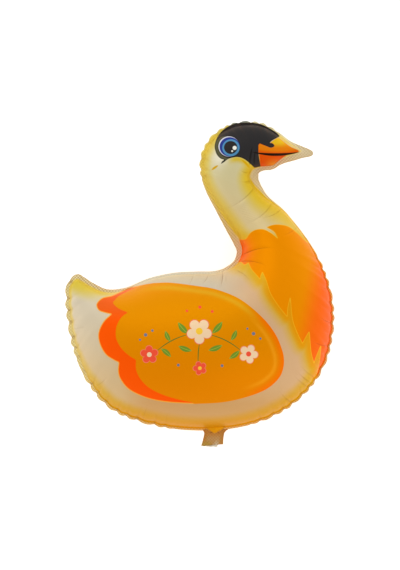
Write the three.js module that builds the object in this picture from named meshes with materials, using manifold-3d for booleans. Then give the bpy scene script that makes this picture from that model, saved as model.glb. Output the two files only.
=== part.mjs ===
// A swan-shaped foil balloon, blown up and lying on its back, face up.
// Two sheets of film are welded together round the figure. The gas chamber swells inside the weld, a
// narrow flat seam is left outside it, and the filling tail hangs from the belly with its valve film.
//
// Lengths are in millimetres. +X runs from the tail to the bill, +Y from the belly to the crown and +Z
// up, out of the swan's side. The origin is under the middle of the balloon, on the ground.
import * as THREE from "three";
import { mergeVertices } from "three/addons/utils/BufferGeometryUtils.js";
import Module from "manifold-3d";

// The figure, from the cut edge over the crown to the cut edge under the belly
const FIGURE_HEIGHT = 740;
// The flat seam outside the weld, and the two films that it is made of
const SEAM_WIDTH = 8;
const SEAM_THICKNESS = 1.2;
// How full the balloon is: 1 would make a long straight stretch of it perfectly round
const PLUMPNESS = 0.9;
// The film is pressed flat where the balloon lies on the ground
const REST_FLAT_DEPTH = 10;
// Puckers round the rim: how far their folds run in, and how far the lobes stand up and down in turn
const FOLD_REACH = 26;
const SEAM_WAVE = 2.2;

// The filling tail: it leans towards the swan's own tail, and that corner of its end is the longer one
const TAIL_LENGTH = 38;
const TAIL_LEAN = 6.5;
const TAIL_END_SLANT = 5;
const TAIL_FLARE = 2.5;
const TAIL_ROOT_FILLET = 9;
// Its two films are welded together along either side of the valve's flattened sleeve
const TAIL_WELD_WIDTH = 10.7;
const TAIL_FILM = 0.6;
const VALVE_WIDTH = 26;
const VALVE_LENGTH = 44;
const VALVE_THICKNESS = 0.4;
const VALVE_SHOWS = 2;
const CLEARANCE = 0.3;
const TAIL_WIDTH = VALVE_WIDTH + 2 * (CLEARANCE + TAIL_WELD_WIDTH);
const TAIL_THICKNESS = VALVE_THICKNESS + 2 * (CLEARANCE + TAIL_FILM);
// How far the tail's films run on past the weld, inside the chamber
const TAIL_ROOT_OVERLAP = 7;

// Ribs cross the bird from its upper edge to its lower edge, one after another from the tail's tip to
// the bill's tip. A row holds the two ends of a rib on the weld, x and y of the upper end and then of
// the lower end, in hundredths of FIGURE_HEIGHT.
const RIBS = [
  [-40.4, 48.6, -40.4, 48.6],
  [-38.8, 48.2, -41.9, 47.2],
  [-35.4, 46.3, -42.3, 42.6],
  [-30.2, 44.6, -41.7, 35.8],
  [-24.0, 45.6, -39.8, 26.4],
  [-16.9, 48.7, -35.7, 16.7],
  [-9.1, 50.3, -27.9, 7.7],
  [-1.6, 50.6, -13.6, 2.5],
  [4.2, 50.8, 2.6, 1.1],
  [8.8, 52.0, 16.9, 3.2],
  [12.3, 54.4, 29.2, 9.2],
  [13.8, 58.2, 38.3, 19.6],
  [12.8, 61.8, 42.0, 32.6],
  [10.2, 66.3, 41.2, 45.6],
  [6.7, 72.0, 36.0, 58.9],
  [3.1, 78.3, 27.8, 70.1],
  [1.4, 83.9, 20.3, 75.9],
  [1.8, 89.7, 16.1, 80.9],
  [5.5, 95.4, 16.7, 84.4],
  [12.0, 98.7, 19.6, 85.6],
  [19.2, 98.7, 22.9, 86.1],
  [24.5, 96.0, 25.6, 87.9],
  [28.4, 93.1, 28.7, 89.3],
  [31.5, 91.5, 31.5, 90.1],
  [32.4, 90.7, 32.4, 90.7],
];
const LAST_RIB = RIBS.length - 1;
// Places on the edge are counted in ribs: 0 at the tail's tip, up over the back to LAST_RIB at the
// bill's tip, then on along the throat, breast and belly to WHOLE_TURN, back at the tail's tip.
const WHOLE_TURN = 2 * LAST_RIB;
const TAIL_AT = 39.87;

// Where the seam is wider or narrower than SEAM_WIDTH: the cut edge is moved outwards, or by x and y,
// and less and less over a spread of ribs to either side
const SEAM_SHIFTS = [
  { at: 1.0, spread: 1.8, out: 5.5 },
  { at: 4.9, spread: 1.5, out: -3.3 },
  { at: 8.3, spread: 0.9, out: -1.7 },
  { at: 12.2, spread: 2.3, out: 10 },
  { at: 17.0, spread: 2.0, out: 2.8 },
  { at: 23.95, spread: 0.85, x: 23, y: -6 },
  { at: 25.6, spread: 1.0, x: 1, y: -6.5 },
  { at: 27.2, spread: 1.5, y: -4.5 },
  { at: 30.4, spread: 1.1, x: 10, y: -8 },
  { at: 31.2, spread: 0.8, out: 8 },
  { at: 33.3, spread: 1.1, out: -5.5 },
  { at: 44.5, spread: 3.2, out: 2.4 },
];

// Stretches of the rim where the film puckers into lobes: places, then the lobes' length and depth
const PUCKERED = [
  { from: 15.4, to: 21.2, length: 21, depth: 4.5 },
  { from: 33.9, to: 39.3, length: 30, depth: 5 },
  { from: 40.5, to: 43.5, length: 36, depth: 6 },
  { from: 43.5, to: WHOLE_TURN + 1.2, length: 38, depth: 7 },
];
const LOBE_LENGTH_ELSEWHERE = 30;
const PUCKER_FADE = 0.6;
// The count of lobes starts on the smooth back, so that it never breaks inside a puckered stretch
const LOBES_START = 8;

// How finely the film is divided: parts of each lobe along the rim, and crossings on each rib
const PARTS_PER_LOBE = 3;
const CROSSINGS = 11;

const percent = (share) => (share / 100) * FIGURE_HEIGHT;
const wrap = (place) => ((place % WHOLE_TURN) + WHOLE_TURN) % WHOLE_TURN;
const turnsApart = (a, b) => wrap(a - b + LAST_RIB) - LAST_RIB;
const swell = (place, at, spread) => Math.exp(-((turnsApart(place, at) / spread) ** 2));

// The closed ring of weld points: up over the back and home along the belly
const WELD_POINTS = [
  ...RIBS.map(([x, y]) => new THREE.Vector2(percent(x), percent(y))),
  ...RIBS.slice(1, -1)
    .reverse()
    .map(([, , x, y]) => new THREE.Vector2(percent(x), percent(y))),
];

// A point on the weld: a Catmull-Rom curve through the ring
function weldPoint(place) {
  const at = wrap(place);
  const start = Math.floor(at);
  const [p0, p1, p2, p3] = [-1, 0, 1, 2].map((k) => WELD_POINTS[wrap(start + k)]);
  const curve = (axis) => catmullRom(at - start, p0[axis], p1[axis], p2[axis], p3[axis]);
  return new THREE.Vector2(curve("x"), curve("y"));
}

function catmullRom(t, a, b, c, d) {
  const slope = c - a;
  const bend = 2 * a - 5 * b + 4 * c - d;
  const twist = 3 * b - a - 3 * c + d;
  return 0.5 * (2 * b + slope * t + bend * t * t + twist * t * t * t);
}

// The direction out of the figure, square to the weld
function outward(place) {
  const step = 1e-3;
  const along = weldPoint(place + step).sub(weldPoint(place - step)).normalize();
  return new THREE.Vector2(-along.y, along.x);
}

// The cut edge's point beside a place on the weld, and how far a lobe carries it further out
function cutPoint(place, lobeOut) {
  const away = outward(place);
  const edge = weldPoint(place).addScaledVector(away, SEAM_WIDTH + lobeOut);
  SEAM_SHIFTS.forEach(({ at, spread, out = 0, x = 0, y = 0 }) => {
    const share = swell(place, at, spread);
    edge.addScaledVector(away, out * share).addScaledVector(new THREE.Vector2(x, y), share);
  });
  return edge;
}

// 0 outside a stretch, 1 well inside it
function inStretch(place, { from, to }) {
  const middle = (from + to) / 2;
  const inside = (to - from) / 2 - Math.abs(turnsApart(place, middle));
  return THREE.MathUtils.smoothstep(inside, 0, PUCKER_FADE);
}

function puckerDepth(place) {
  return Math.max(...PUCKERED.map((stretch) => stretch.depth * inStretch(place, stretch)));
}

function lobeLength(place) {
  return PUCKERED.reduce(
    (length, stretch) => THREE.MathUtils.lerp(length, stretch.length, inStretch(place, stretch)),
    LOBE_LENGTH_ELSEWHERE,
  );
}

// The count of lobes at evenly spaced places, from LOBES_START once round
const COUNT_STEPS_PER_RIB = 24;
const LOBE_COUNTS = [0];
for (let k = 1; k <= WHOLE_TURN * COUNT_STEPS_PER_RIB; k++) {
  const place = LOBES_START + k / COUNT_STEPS_PER_RIB;
  const step = weldPoint(place).distanceTo(weldPoint(place - 1 / COUNT_STEPS_PER_RIB));
  LOBE_COUNTS.push(LOBE_COUNTS[k - 1] + step / lobeLength(place));
}

// Lobes before a place, with their lengths made a little uneven
function lobesBefore(place) {
  const at = wrap(place - LOBES_START) * COUNT_STEPS_PER_RIB;
  const below = Math.floor(at);
  const count = THREE.MathUtils.lerp(LOBE_COUNTS[below], LOBE_COUNTS[below + 1], at - below);
  return count + 0.14 * Math.sin(1.9 * count) + 0.1 * Math.sin(1.1 * count + 1);
}

// How the puckered film stands out at a place on the rim: the notch between two lobes is sharp
function lobe(place) {
  const mean = 2 / Math.PI;
  return puckerDepth(place) * (Math.abs(Math.sin(Math.PI * lobesBefore(place))) - mean);
}

// Neighbouring lobes lean to the front and to the back in turn
function seamWave(place) {
  const share = puckerDepth(place) / Math.max(...PUCKERED.map(({ depth }) => depth));
  return SEAM_WAVE * share * Math.sin(Math.PI * lobesBefore(place));
}

// Ribs at which the film is divided, from tip to tip. They follow whichever edge is puckered more, so
// that every notch falls on one, and come closer together at the two tips.
function stationPlaces() {
  const walk = 1e-3;
  const places = [0];
  let here = 0;
  while (here < LAST_RIB) {
    const side = puckerDepth(here) > puckerDepth(-here) ? 1 : -1;
    const partsBefore = (place) => side * PARTS_PER_LOBE * lobesBefore(side * place);
    const target = Math.floor(partsBefore(here) + 0.4) + 1;
    const furthest = here + 0.12 + 0.3 * Math.min(here, LAST_RIB - here);
    do here += walk;
    while (partsBefore(here) < target && here < furthest);
    if (here > LAST_RIB - 0.1) here = LAST_RIB;
    places.push(here);
  }
  return places;
}

// The flat plan of the film: points on each rib, closer together towards the weld
function planOfFilm(places) {
  const lobeShare = 0.5;
  const weldAt = (place) =>
    weldPoint(place).addScaledVector(outward(place), lobeShare * lobe(place));
  return places.map((place) => {
    const [upper, lower] = [weldAt(place), weldAt(-place)];
    return Array.from({ length: CROSSINGS + 1 }, (_, k) => {
      const across = (1 - Math.cos((Math.PI * k) / CROSSINGS)) / 2;
      return upper.clone().lerp(lower, across);
    });
  });
}

// A film stretched over the plan and pressed up evenly sags like a soap film, and the root of that sag
// rises like blown-up foil: a long straight stretch becomes round and a disc becomes a flat pillow.
// The sag is solved on the plan's own triangles, with each point set from its neighbours in turn.
function solveSag(plan) {
  const last = plan.length - 1;
  const sag = plan.map((rib) => rib.map(() => 0));
  const links = plan.map((rib) => rib.map(() => ({ load: 0, neighbours: [] })));
  const addTriangle = (corners) => {
    const points = corners.map(([i, k]) => plan[i][k]);
    const area =
      Math.abs(points[1].clone().sub(points[0]).cross(points[2].clone().sub(points[0]))) / 2;
    if (area < 1e-6) return;
    corners.forEach(([i, k], n) => {
      const [from, to] = [corners[(n + 1) % 3], corners[(n + 2) % 3]];
      const a = plan[from[0]][from[1]].clone().sub(points[n]);
      const b = plan[to[0]][to[1]].clone().sub(points[n]);
      const weight = a.dot(b) / (4 * area);
      links[from[0]][from[1]].neighbours.push([to, weight]);
      links[to[0]][to[1]].neighbours.push([from, weight]);
      links[i][k].load += area / 3;
    });
  };
  for (let i = 0; i < last; i++)
    for (let k = 0; k < CROSSINGS; k++) {
      addTriangle([[i, k], [i + 1, k], [i + 1, k + 1]]);
      addTriangle([[i, k], [i + 1, k + 1], [i, k + 1]]);
    }
  const rounds = 3000;
  const push = 1.7;
  for (let round = 0; round < rounds; round++)
    for (let i = 1; i < last; i++)
      for (let k = 1; k < CROSSINGS; k++) {
        const { load, neighbours } = links[i][k];
        const total = neighbours.reduce((sum, [, weight]) => sum + weight, 0);
        const pull = neighbours.reduce(
          (sum, [[ni, nk], weight]) => sum + weight * sag[ni][nk],
          0,
        );
        sag[i][k] += push * ((pull + load) / total - sag[i][k]);
      }
  return sag;
}

// The film's height over the plan on one side, with the folds that run in from the puckered rim, and
// the seam's wave, which dies away from the rim
function shapeFilm(plan, places) {
  const sag = solveSag(plan);
  const waveReach = 2 * FOLD_REACH;
  return plan.map((rib, i) =>
    rib.map((point, k) => {
      const edges = [
        { place: places[i], away: point.distanceTo(rib[0]) },
        { place: -places[i], away: point.distanceTo(rib[CROSSINGS]) },
      ];
      const fold = edges.reduce(
        (sum, { place, away }) => sum + lobe(place) * Math.exp(-away / FOLD_REACH),
        0,
      );
      const wave = edges.reduce(
        (sum, { place, away }) => sum + seamWave(place) * Math.exp(-away / waveReach),
        0,
      );
      const height = PLUMPNESS * Math.sqrt(2 * Math.max(sag[i][k], 0));
      return { point, wave, height: height > 0 ? Math.max(height + fold, 0.5) : 0 };
    }),
  );
}

// The closed surface of chamber and seam: front film, back film, and the seam ring between them
function envelopeGeometry() {
  const places = stationPlaces();
  const last = places.length - 1;
  const film = shapeFilm(planOfFilm(places), places);
  const fullHeight = Math.max(...film.flat().map(({ height }) => height));
  const floor = fullHeight - REST_FLAT_DEPTH;
  const half = SEAM_THICKNESS / 2;
  const positions = [];
  const faces = [];
  const addPoint = (x, y, z) => positions.push(x, y, z) / 3 - 1;
  // At the two tips every crossing of the rib is the same point
  const gridOf = (zOf) =>
    film.map((rib, i) => {
      const isTip = i === 0 || i === last;
      let index = -1;
      return rib.map((node, k) => {
        if (k === 0 || !isTip) index = addPoint(node.point.x, node.point.y, zOf(node));
        return index;
      });
    });
  const front = gridOf(({ wave, height }) => wave + height + half);
  const back = gridOf(({ wave, height }) => Math.max(wave - height, -floor) - half);
  const addFace = (a, b, c) => {
    if (a !== b && b !== c && c !== a) faces.push(a, b, c);
  };
  const addQuad = (a, b, c, d) => {
    addFace(a, b, c);
    addFace(a, c, d);
  };
  for (let i = 0; i < last; i++)
    for (let k = 0; k < CROSSINGS; k++) {
      addQuad(front[i][k], front[i][k + 1], front[i + 1][k + 1], front[i + 1][k]);
      addQuad(back[i][k], back[i + 1][k], back[i + 1][k + 1], back[i][k + 1]);
    }
  // Once round the weld: over the back to the bill and home along the belly
  const ring = [
    ...places.slice(0, last).map((place, i) => ({ place, i, k: 0 })),
    ...places
      .slice(1)
      .map((place, n) => ({ place: -place, i: n + 1, k: CROSSINGS }))
      .reverse(),
  ].map(({ place, i, k }) => {
    const { wave } = film[i][k];
    const edge = cutPoint(place, lobe(place));
    return {
      weldTop: front[i][k],
      weldUnder: back[i][k],
      cutTop: addPoint(edge.x, edge.y, wave + half),
      cutUnder: addPoint(edge.x, edge.y, wave - half),
    };
  });
  ring.forEach((here, n) => {
    const next = ring[(n + 1) % ring.length];
    addQuad(here.cutTop, here.weldTop, next.weldTop, next.cutTop);
    addQuad(here.cutUnder, next.cutUnder, next.weldUnder, here.weldUnder);
    addQuad(here.cutTop, next.cutTop, next.cutUnder, here.cutUnder);
  });
  return new THREE.BufferGeometry()
    .setAttribute("position", new THREE.Float32BufferAttribute(positions, 3))
    .setIndex(faces);
}

// A flat plate cut to a shape, with its thickness halved by the seam's plane
function plate(shape, thickness) {
  return new THREE.ExtrudeGeometry(shape, {
    depth: thickness,
    bevelEnabled: false,
    curveSegments: 6,
  }).translate(0, 0, -thickness / 2);
}

// The tail's films, drawn hanging straight down from the cut edge at y = 0
function tailShape() {
  const half = TAIL_WIDTH / 2;
  const end = half + TAIL_FLARE;
  const fillet = TAIL_ROOT_FILLET;
  const root = SEAM_WIDTH + TAIL_ROOT_OVERLAP;
  return new THREE.Shape()
    .moveTo(-half, root)
    .lineTo(-half - fillet, fillet / 3)
    .quadraticCurveTo(-half, 0, -half, -fillet)
    .quadraticCurveTo(-half, -TAIL_LENGTH * 0.7, -end, -TAIL_LENGTH)
    .lineTo(end, TAIL_END_SLANT - TAIL_LENGTH)
    .quadraticCurveTo(half, -TAIL_LENGTH * 0.7, half, -fillet)
    .quadraticCurveTo(half, 0, half + fillet, fillet / 3)
    .lineTo(half, root)
    .closePath();
}

// A rectangle from the tail's mouth up its middle
function sleeveShape(width, fromMouth, length) {
  const bottom = -TAIL_LENGTH - fromMouth;
  return new THREE.Shape()
    .moveTo(-width / 2, bottom)
    .lineTo(width / 2, bottom)
    .lineTo(width / 2, bottom + length)
    .lineTo(-width / 2, bottom + length)
    .closePath();
}

// Leans a piece that is drawn straight, and puts it where the tail hangs from the belly
function placeOnTail(geometry) {
  const root = cutPoint(TAIL_AT, 0);
  const lean = new THREE.Matrix4().makeShear(0, 0, TAIL_LEAN / TAIL_LENGTH, 0, 0, 0);
  return geometry.applyMatrix4(lean).translate(root.x, root.y, 0);
}

const wasm = await Module();
wasm.setup();

function toSolid(geometry) {
  const bare = geometry.clone();
  bare.deleteAttribute("normal");
  bare.deleteAttribute("uv");
  const merged = mergeVertices(bare, 1e-4);
  return new wasm.Manifold(
    new wasm.Mesh({
      numProp: 3,
      vertProperties: new Float32Array(merged.attributes.position.array),
      triVerts: new Uint32Array(merged.index.array),
    }),
  );
}

function toGeometry(solid) {
  const { vertProperties, triVerts } = solid.getMesh();
  const geometry = new THREE.BufferGeometry()
    .setAttribute("position", new THREE.BufferAttribute(vertProperties, 3))
    .setIndex(new THREE.BufferAttribute(triVerts, 1));
  geometry.computeVertexNormals();
  return geometry;
}

// Chamber, seam and tail are cut from the same two films, with an open sleeve for the valve
function makeEnvelope() {
  const tail = toSolid(placeOnTail(plate(tailShape(), TAIL_THICKNESS)));
  const sleeve = sleeveShape(
    VALVE_WIDTH + 2 * CLEARANCE,
    2 * VALVE_SHOWS,
    VALVE_LENGTH + VALVE_SHOWS + CLEARANCE,
  );
  const pocket = toSolid(placeOnTail(plate(sleeve, VALVE_THICKNESS + 2 * CLEARANCE)));
  return toGeometry(toSolid(envelopeGeometry()).add(tail).subtract(pocket));
}

function makeValve() {
  return placeOnTail(plate(sleeveShape(VALVE_WIDTH, VALVE_SHOWS, VALVE_LENGTH), VALVE_THICKNESS));
}

function namedMesh(name, geometry, finish) {
  const mesh = new THREE.Mesh(geometry, new THREE.MeshStandardMaterial(finish));
  mesh.name = name;
  return mesh;
}

const balloon = new THREE.Group();
balloon.add(
  namedMesh("foil_envelope", makeEnvelope(), { color: 0xe8a13c, roughness: 0.38, metalness: 0.3 }),
  namedMesh("valve_film", makeValve(), { color: 0xe6dfce, roughness: 0.3, metalness: 0 }),
);

// The origin goes under the middle of the whole balloon
const box = new THREE.Box3().setFromObject(balloon, true);
const middle = box.getCenter(new THREE.Vector3());
balloon.children.forEach((mesh) => mesh.position.set(-middle.x, -middle.y, -box.min.z));

export default balloon;
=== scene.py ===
# %% [markdown]
# # A swan-shaped foil balloon
#
# The balloon is two sheets of printed film, welded together round the figure and blown up. It lies on its
# back, so the camera looks straight down on the printed front. The CAD model gives its size and place, and
# this script makes what the eye sees: the puckered film, its print, the filling tail and the valve.

# %% Load the frame
import math

import bpy
import numpy as np
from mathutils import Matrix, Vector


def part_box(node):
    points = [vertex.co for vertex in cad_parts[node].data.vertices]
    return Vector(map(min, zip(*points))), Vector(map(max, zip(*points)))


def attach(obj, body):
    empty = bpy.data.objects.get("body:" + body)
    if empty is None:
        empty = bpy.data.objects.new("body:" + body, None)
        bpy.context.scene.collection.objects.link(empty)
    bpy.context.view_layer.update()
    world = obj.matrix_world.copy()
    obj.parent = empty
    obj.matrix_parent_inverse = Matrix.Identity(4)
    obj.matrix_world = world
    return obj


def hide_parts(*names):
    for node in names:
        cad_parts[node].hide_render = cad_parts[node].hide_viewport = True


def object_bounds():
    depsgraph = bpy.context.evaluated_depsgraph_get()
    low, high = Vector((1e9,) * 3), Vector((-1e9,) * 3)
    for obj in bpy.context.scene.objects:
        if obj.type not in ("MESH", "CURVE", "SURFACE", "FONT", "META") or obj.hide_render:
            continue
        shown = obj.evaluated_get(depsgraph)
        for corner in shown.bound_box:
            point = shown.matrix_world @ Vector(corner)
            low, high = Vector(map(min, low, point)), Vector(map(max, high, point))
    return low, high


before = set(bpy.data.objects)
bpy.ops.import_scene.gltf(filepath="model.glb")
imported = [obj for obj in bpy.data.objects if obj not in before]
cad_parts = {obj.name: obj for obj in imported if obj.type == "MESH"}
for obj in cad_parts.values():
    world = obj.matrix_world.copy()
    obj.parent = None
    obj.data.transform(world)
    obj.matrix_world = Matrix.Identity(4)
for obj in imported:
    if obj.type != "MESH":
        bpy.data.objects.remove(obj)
cad_box = [list(corner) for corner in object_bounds()]
print("CAD box", np.round(cad_box, 3).tolist())

# %% [markdown]
# ## Where the figure lies
#
# The outline is drawn in millimetres on a plan of its own: x is 0 on a line through the middle of the
# figure and y is 0 at the foot of the belly. The box round the whole CAD model tells where that plan lies
# in the frame, and the box of the valve inside the tail tells how high the seam is.

# %% Name the driving sizes
FIGURE_HEIGHT = 740.0
SEAM_WIDTH = 8.0
SEAM_HALF_THICKNESS = 0.6
PLUMPNESS = 0.9
TAIL_LENGTH = 38.0
TAIL_LEAN = 6.5
TAIL_END_SLANT = 5.0
TAIL_HALF_WIDTH = 24.0
TAIL_FLARE = 2.5
TAIL_ROOT_FILLET = 9.0
VALVE_WIDTH = 26.0
VALVE_LENGTH = 44.0
VALVE_SHOWS = 2.0
MM = 0.001
FINE_PLACES = 4801
FAR = 80.0
print(f"figure {FIGURE_HEIGHT:.0f} mm tall, with a seam of {SEAM_WIDTH:.0f} mm")

# %% [markdown]
# ## The weld round the figure
#
# Ribs cross the bird from its upper edge to its lower edge, from the tail's tip to the bill's tip. Their
# ends, in hundredths of the figure's height, are joined by a smooth closed curve: the weld. Places on it
# are counted in ribs, up over the back and home along the belly. A curve through a few chosen points is
# easier to correct than a long list of measured ones, and it stays smooth at any resolution.

# %% Name the ends of the ribs
RIBS = np.array([
    [-40.4, 48.6, -40.4, 48.6],
    [-38.8, 48.2, -41.9, 47.2],
    [-35.4, 46.3, -42.3, 42.6],
    [-30.2, 44.6, -41.7, 35.8],
    [-24.0, 45.6, -39.8, 26.4],
    [-16.9, 48.7, -35.7, 16.7],
    [-9.1, 50.3, -27.9, 7.7],
    [-1.6, 50.6, -13.6, 2.5],
    [4.2, 50.8, 2.6, 1.1],
    [8.8, 52.0, 16.9, 3.2],
    [12.3, 54.4, 29.2, 9.2],
    [13.8, 58.2, 38.3, 19.6],
    [12.8, 61.8, 42.0, 32.6],
    [10.2, 66.3, 41.2, 45.6],
    [6.7, 72.0, 36.0, 58.9],
    [3.1, 78.3, 27.8, 70.1],
    [1.4, 83.9, 20.3, 75.9],
    [1.8, 89.7, 16.1, 80.9],
    [5.5, 95.4, 16.7, 84.4],
    [12.0, 98.7, 19.6, 85.6],
    [19.2, 98.7, 22.9, 86.1],
    [24.5, 96.0, 25.6, 87.9],
    [28.4, 93.1, 28.7, 89.3],
    [31.5, 91.5, 31.5, 90.1],
    [32.4, 90.7, 32.4, 90.7],
]) * FIGURE_HEIGHT / 100
LAST_RIB = len(RIBS) - 1
WHOLE_TURN = 2 * LAST_RIB
print(f"{len(RIBS)} ribs, {WHOLE_TURN} places on the weld")

# %% Draw the weld through their ends
weld_ring = np.vstack([RIBS[:, :2], RIBS[-2:0:-1, 2:]])


def smooth_curve(points, at):
    """Point on a closed curve. Between two points it is the cubic that passes through both and leaves each
    one in the direction from its last neighbour to its next."""
    start = np.floor(at).astype(int)
    t = (at - start)[..., None]
    a, b, c, d = (points[(start + k) % len(points)] for k in (-1, 0, 1, 2))
    bend = 2 * a - 5 * b + 4 * c - d
    twist = 3 * b - a - 3 * c + d
    return 0.5 * (2 * b + (c - a) * t + bend * t**2 + twist * t**3)


def weld(place):
    """Point on the weld at a place counted in ribs."""
    return smooth_curve(weld_ring, np.asarray(place, float) % WHOLE_TURN)


def outward(place):
    """Unit vector out of the figure: the weld's own direction, turned a quarter turn."""
    along = weld(np.asarray(place) + 1e-3) - weld(np.asarray(place) - 1e-3)
    along /= np.linalg.norm(along, axis=-1, keepdims=True)
    return np.stack([-along[..., 1], along[..., 0]], axis=-1)


once_round = np.linspace(0, WHOLE_TURN, FINE_PLACES)
weld_length = np.linalg.norm(np.diff(weld(once_round), axis=0), axis=1).sum()
print(f"weld: {len(weld_ring)} points, {weld_length:.0f} mm round")

# %% [markdown]
# ## The cut edge and its lobes
#
# Outside the weld the two films are one flat band. It is wider where tools need room, such as round the
# bill and in the bend of the neck. When the balloon fills, its outline has too much film for its shape, so
# the rim puckers into lobes with sharp notches between them. They are a rectified sine of the distance
# along the rim, whose length and depth change from stretch to stretch.

# %% Find the cut edge
# Each row: place, spread in ribs, and the shift outwards, along x and along y
SEAM_SHIFTS = [
    (1.0, 1.8, 5.5, 0, 0),
    (4.9, 1.5, -3.3, 0, 0),
    (8.3, 0.9, -1.7, 0, 0),
    (12.2, 2.3, 10, 0, 0),
    (17.0, 2.0, 2.8, 0, 0),
    (23.95, 0.85, 0, 23, -6),
    (25.6, 1.0, 0, 1, -6.5),
    (27.2, 1.5, 0, 0, -4.5),
    (30.4, 1.1, 0, 10, -8),
    (31.2, 0.8, 8, 0, 0),
    (33.3, 1.1, -5.5, 0, 0),
    (44.5, 3.2, 2.4, 0, 0),
]


def turns_apart(place, at):
    """How many ribs a place lies after another, the shorter way round."""
    return (np.asarray(place) - at + LAST_RIB) % WHOLE_TURN - LAST_RIB


def swell(place, at, spread):
    """1 at a place, falling to nothing over a spread of ribs on either side."""
    return np.exp(-((turns_apart(place, at) / spread) ** 2))


def cut_edge(place, lobe_out):
    """Point on the cut edge: the weld, moved outwards by the seam's width and the lobe, then shifted."""
    away = outward(place)
    edge = weld(place) + away * (SEAM_WIDTH + np.asarray(lobe_out))[..., None]
    for at, spread, out, x, y in SEAM_SHIFTS:
        edge = edge + swell(place, at, spread)[..., None] * (away * out + np.array([x, y]))
    return edge


print("cut edge:", len(SEAM_SHIFTS), "places where the rim is wider or narrower")

# %% Pucker the rim
# Each row: from place, to place, length and depth of its lobes
PUCKERED = [
    (15.4, 21.2, 21, 4.5),
    (33.9, 39.3, 27, 4.6),
    (40.5, 43.5, 30, 5),
    (43.5, WHOLE_TURN + 1.2, 30, 5.4),
]
LOBE_LENGTH_ELSEWHERE = 30
PUCKER_FADE = 0.6
LOBES_START = 8
COUNTS_PER_RIB = 24
SEAM_WAVE = 2.2


def ease(x):
    """0 below 0, 1 above 1, and a smooth step between."""
    x = np.clip(x, 0, 1)
    return x * x * (3 - 2 * x)


def in_stretch(place, start, end):
    """1 well inside a stretch of the rim and 0 outside it."""
    inside = (end - start) / 2 - np.abs(turns_apart(place, (start + end) / 2))
    return ease(inside / PUCKER_FADE)


def pucker_depth(place):
    """Depth of the lobes at a place, nought where the rim is smooth."""
    return np.max([depth * in_stretch(place, *ends) for *ends, _, depth in PUCKERED], axis=0)


def lobe_length(place):
    """Length of the lobes at a place, changing smoothly from stretch to stretch."""
    length = np.full(np.shape(place), float(LOBE_LENGTH_ELSEWHERE))
    for *ends, own, _ in PUCKERED:
        length += (own - length) * in_stretch(place, *ends)
    return length


count_places = LOBES_START + np.linspace(0, WHOLE_TURN, WHOLE_TURN * COUNTS_PER_RIB + 1)
count_steps = np.linalg.norm(np.diff(weld(count_places), axis=0), axis=1) / lobe_length(count_places[1:])
lobe_counts = np.concatenate([[0], np.cumsum(count_steps)])


def lobes_before(place):
    """How many lobes lie before a place, a little unevenly spaced."""
    travelled = (np.asarray(place) - LOBES_START) % WHOLE_TURN
    count = np.interp(travelled, count_places - LOBES_START, lobe_counts)
    return count + 0.14 * np.sin(1.9 * count) + 0.1 * np.sin(1.1 * count + 1)


def lobe(place):
    """How far the puckered rim stands out: the size of a sine, less its mean."""
    return pucker_depth(place) * (np.abs(np.sin(np.pi * lobes_before(place))) - 2 / np.pi)


def seam_wave(place):
    """How far the rim leans to the front or the back, one lobe after another."""
    share = pucker_depth(place) / max(depth for *_, depth in PUCKERED)
    return SEAM_WAVE * share * np.sin(np.pi * lobes_before(place))


print(f"rim: {lobe_counts[-1]:.0f} lobe lengths round, deepest lobe {pucker_depth(once_round).max():.1f} mm")

# %% [markdown]
# ## The plan of the film
#
# A grid of points covers the figure: ribs along the bird, and on every rib points spaced like those of a
# half circle seen from above. They crowd towards the weld, where the blown-up film turns over, so its
# quads are about equally large everywhere once it has its height.

# %% Lay out the plan
STATIONS = 540
CROSSINGS = 150

fine = np.linspace(0, LAST_RIB, FINE_PLACES)
longer_step = np.maximum(
    np.linalg.norm(np.diff(weld(fine), axis=0), axis=1),
    np.linalg.norm(np.diff(weld(-fine), axis=0), axis=1),
)
# The ribs stand closer at the two tips
tip_boost = 30 * swell(fine[1:], 0, 0.8) + 50 * swell(fine[1:], LAST_RIB, 1)
travelled = np.concatenate([[0], np.cumsum(longer_step + tip_boost * np.diff(fine))])
places = np.interp(np.linspace(0, travelled[-1], STATIONS + 1), travelled, fine)

across = (1 - np.cos(np.pi * np.arange(CROSSINGS + 1) / CROSSINGS)) / 2
upper_end, lower_end = weld(places), weld(-places)
plan = upper_end[:, None] + (lower_end - upper_end)[:, None] * across[:, None]
print(f"plan: {STATIONS} by {CROSSINGS} cells, ribs up to {travelled[-1] / STATIONS:.1f} mm apart")

# %% [markdown]
# ## Blow it up
#
# Foil doesn't stretch, so it can't swell like rubber. A good stand-in is a soap film over the same outline,
# pressed up evenly: the root of its sag makes a long strip round, a disc a flat pillow, and carries one
# into the other without a joint. The sag is solved on the plan's triangles. Each rib touches only the
# next one, so one sweep forwards and one back over the ribs solve it exactly.

# %% Find what pulls on each point


def half_cotangent(corner, one, other):
    """Half the cotangent of a triangle's angle at corner, and the triangle's area."""
    u, v = one - corner, other - corner
    doubled = np.abs(u[..., 0] * v[..., 1] - u[..., 1] * v[..., 0])
    flat = doubled < 1e-9
    return np.where(flat, 0, (u * v).sum(-1) / np.where(flat, 1, doubled)) / 2, doubled / 2


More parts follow.
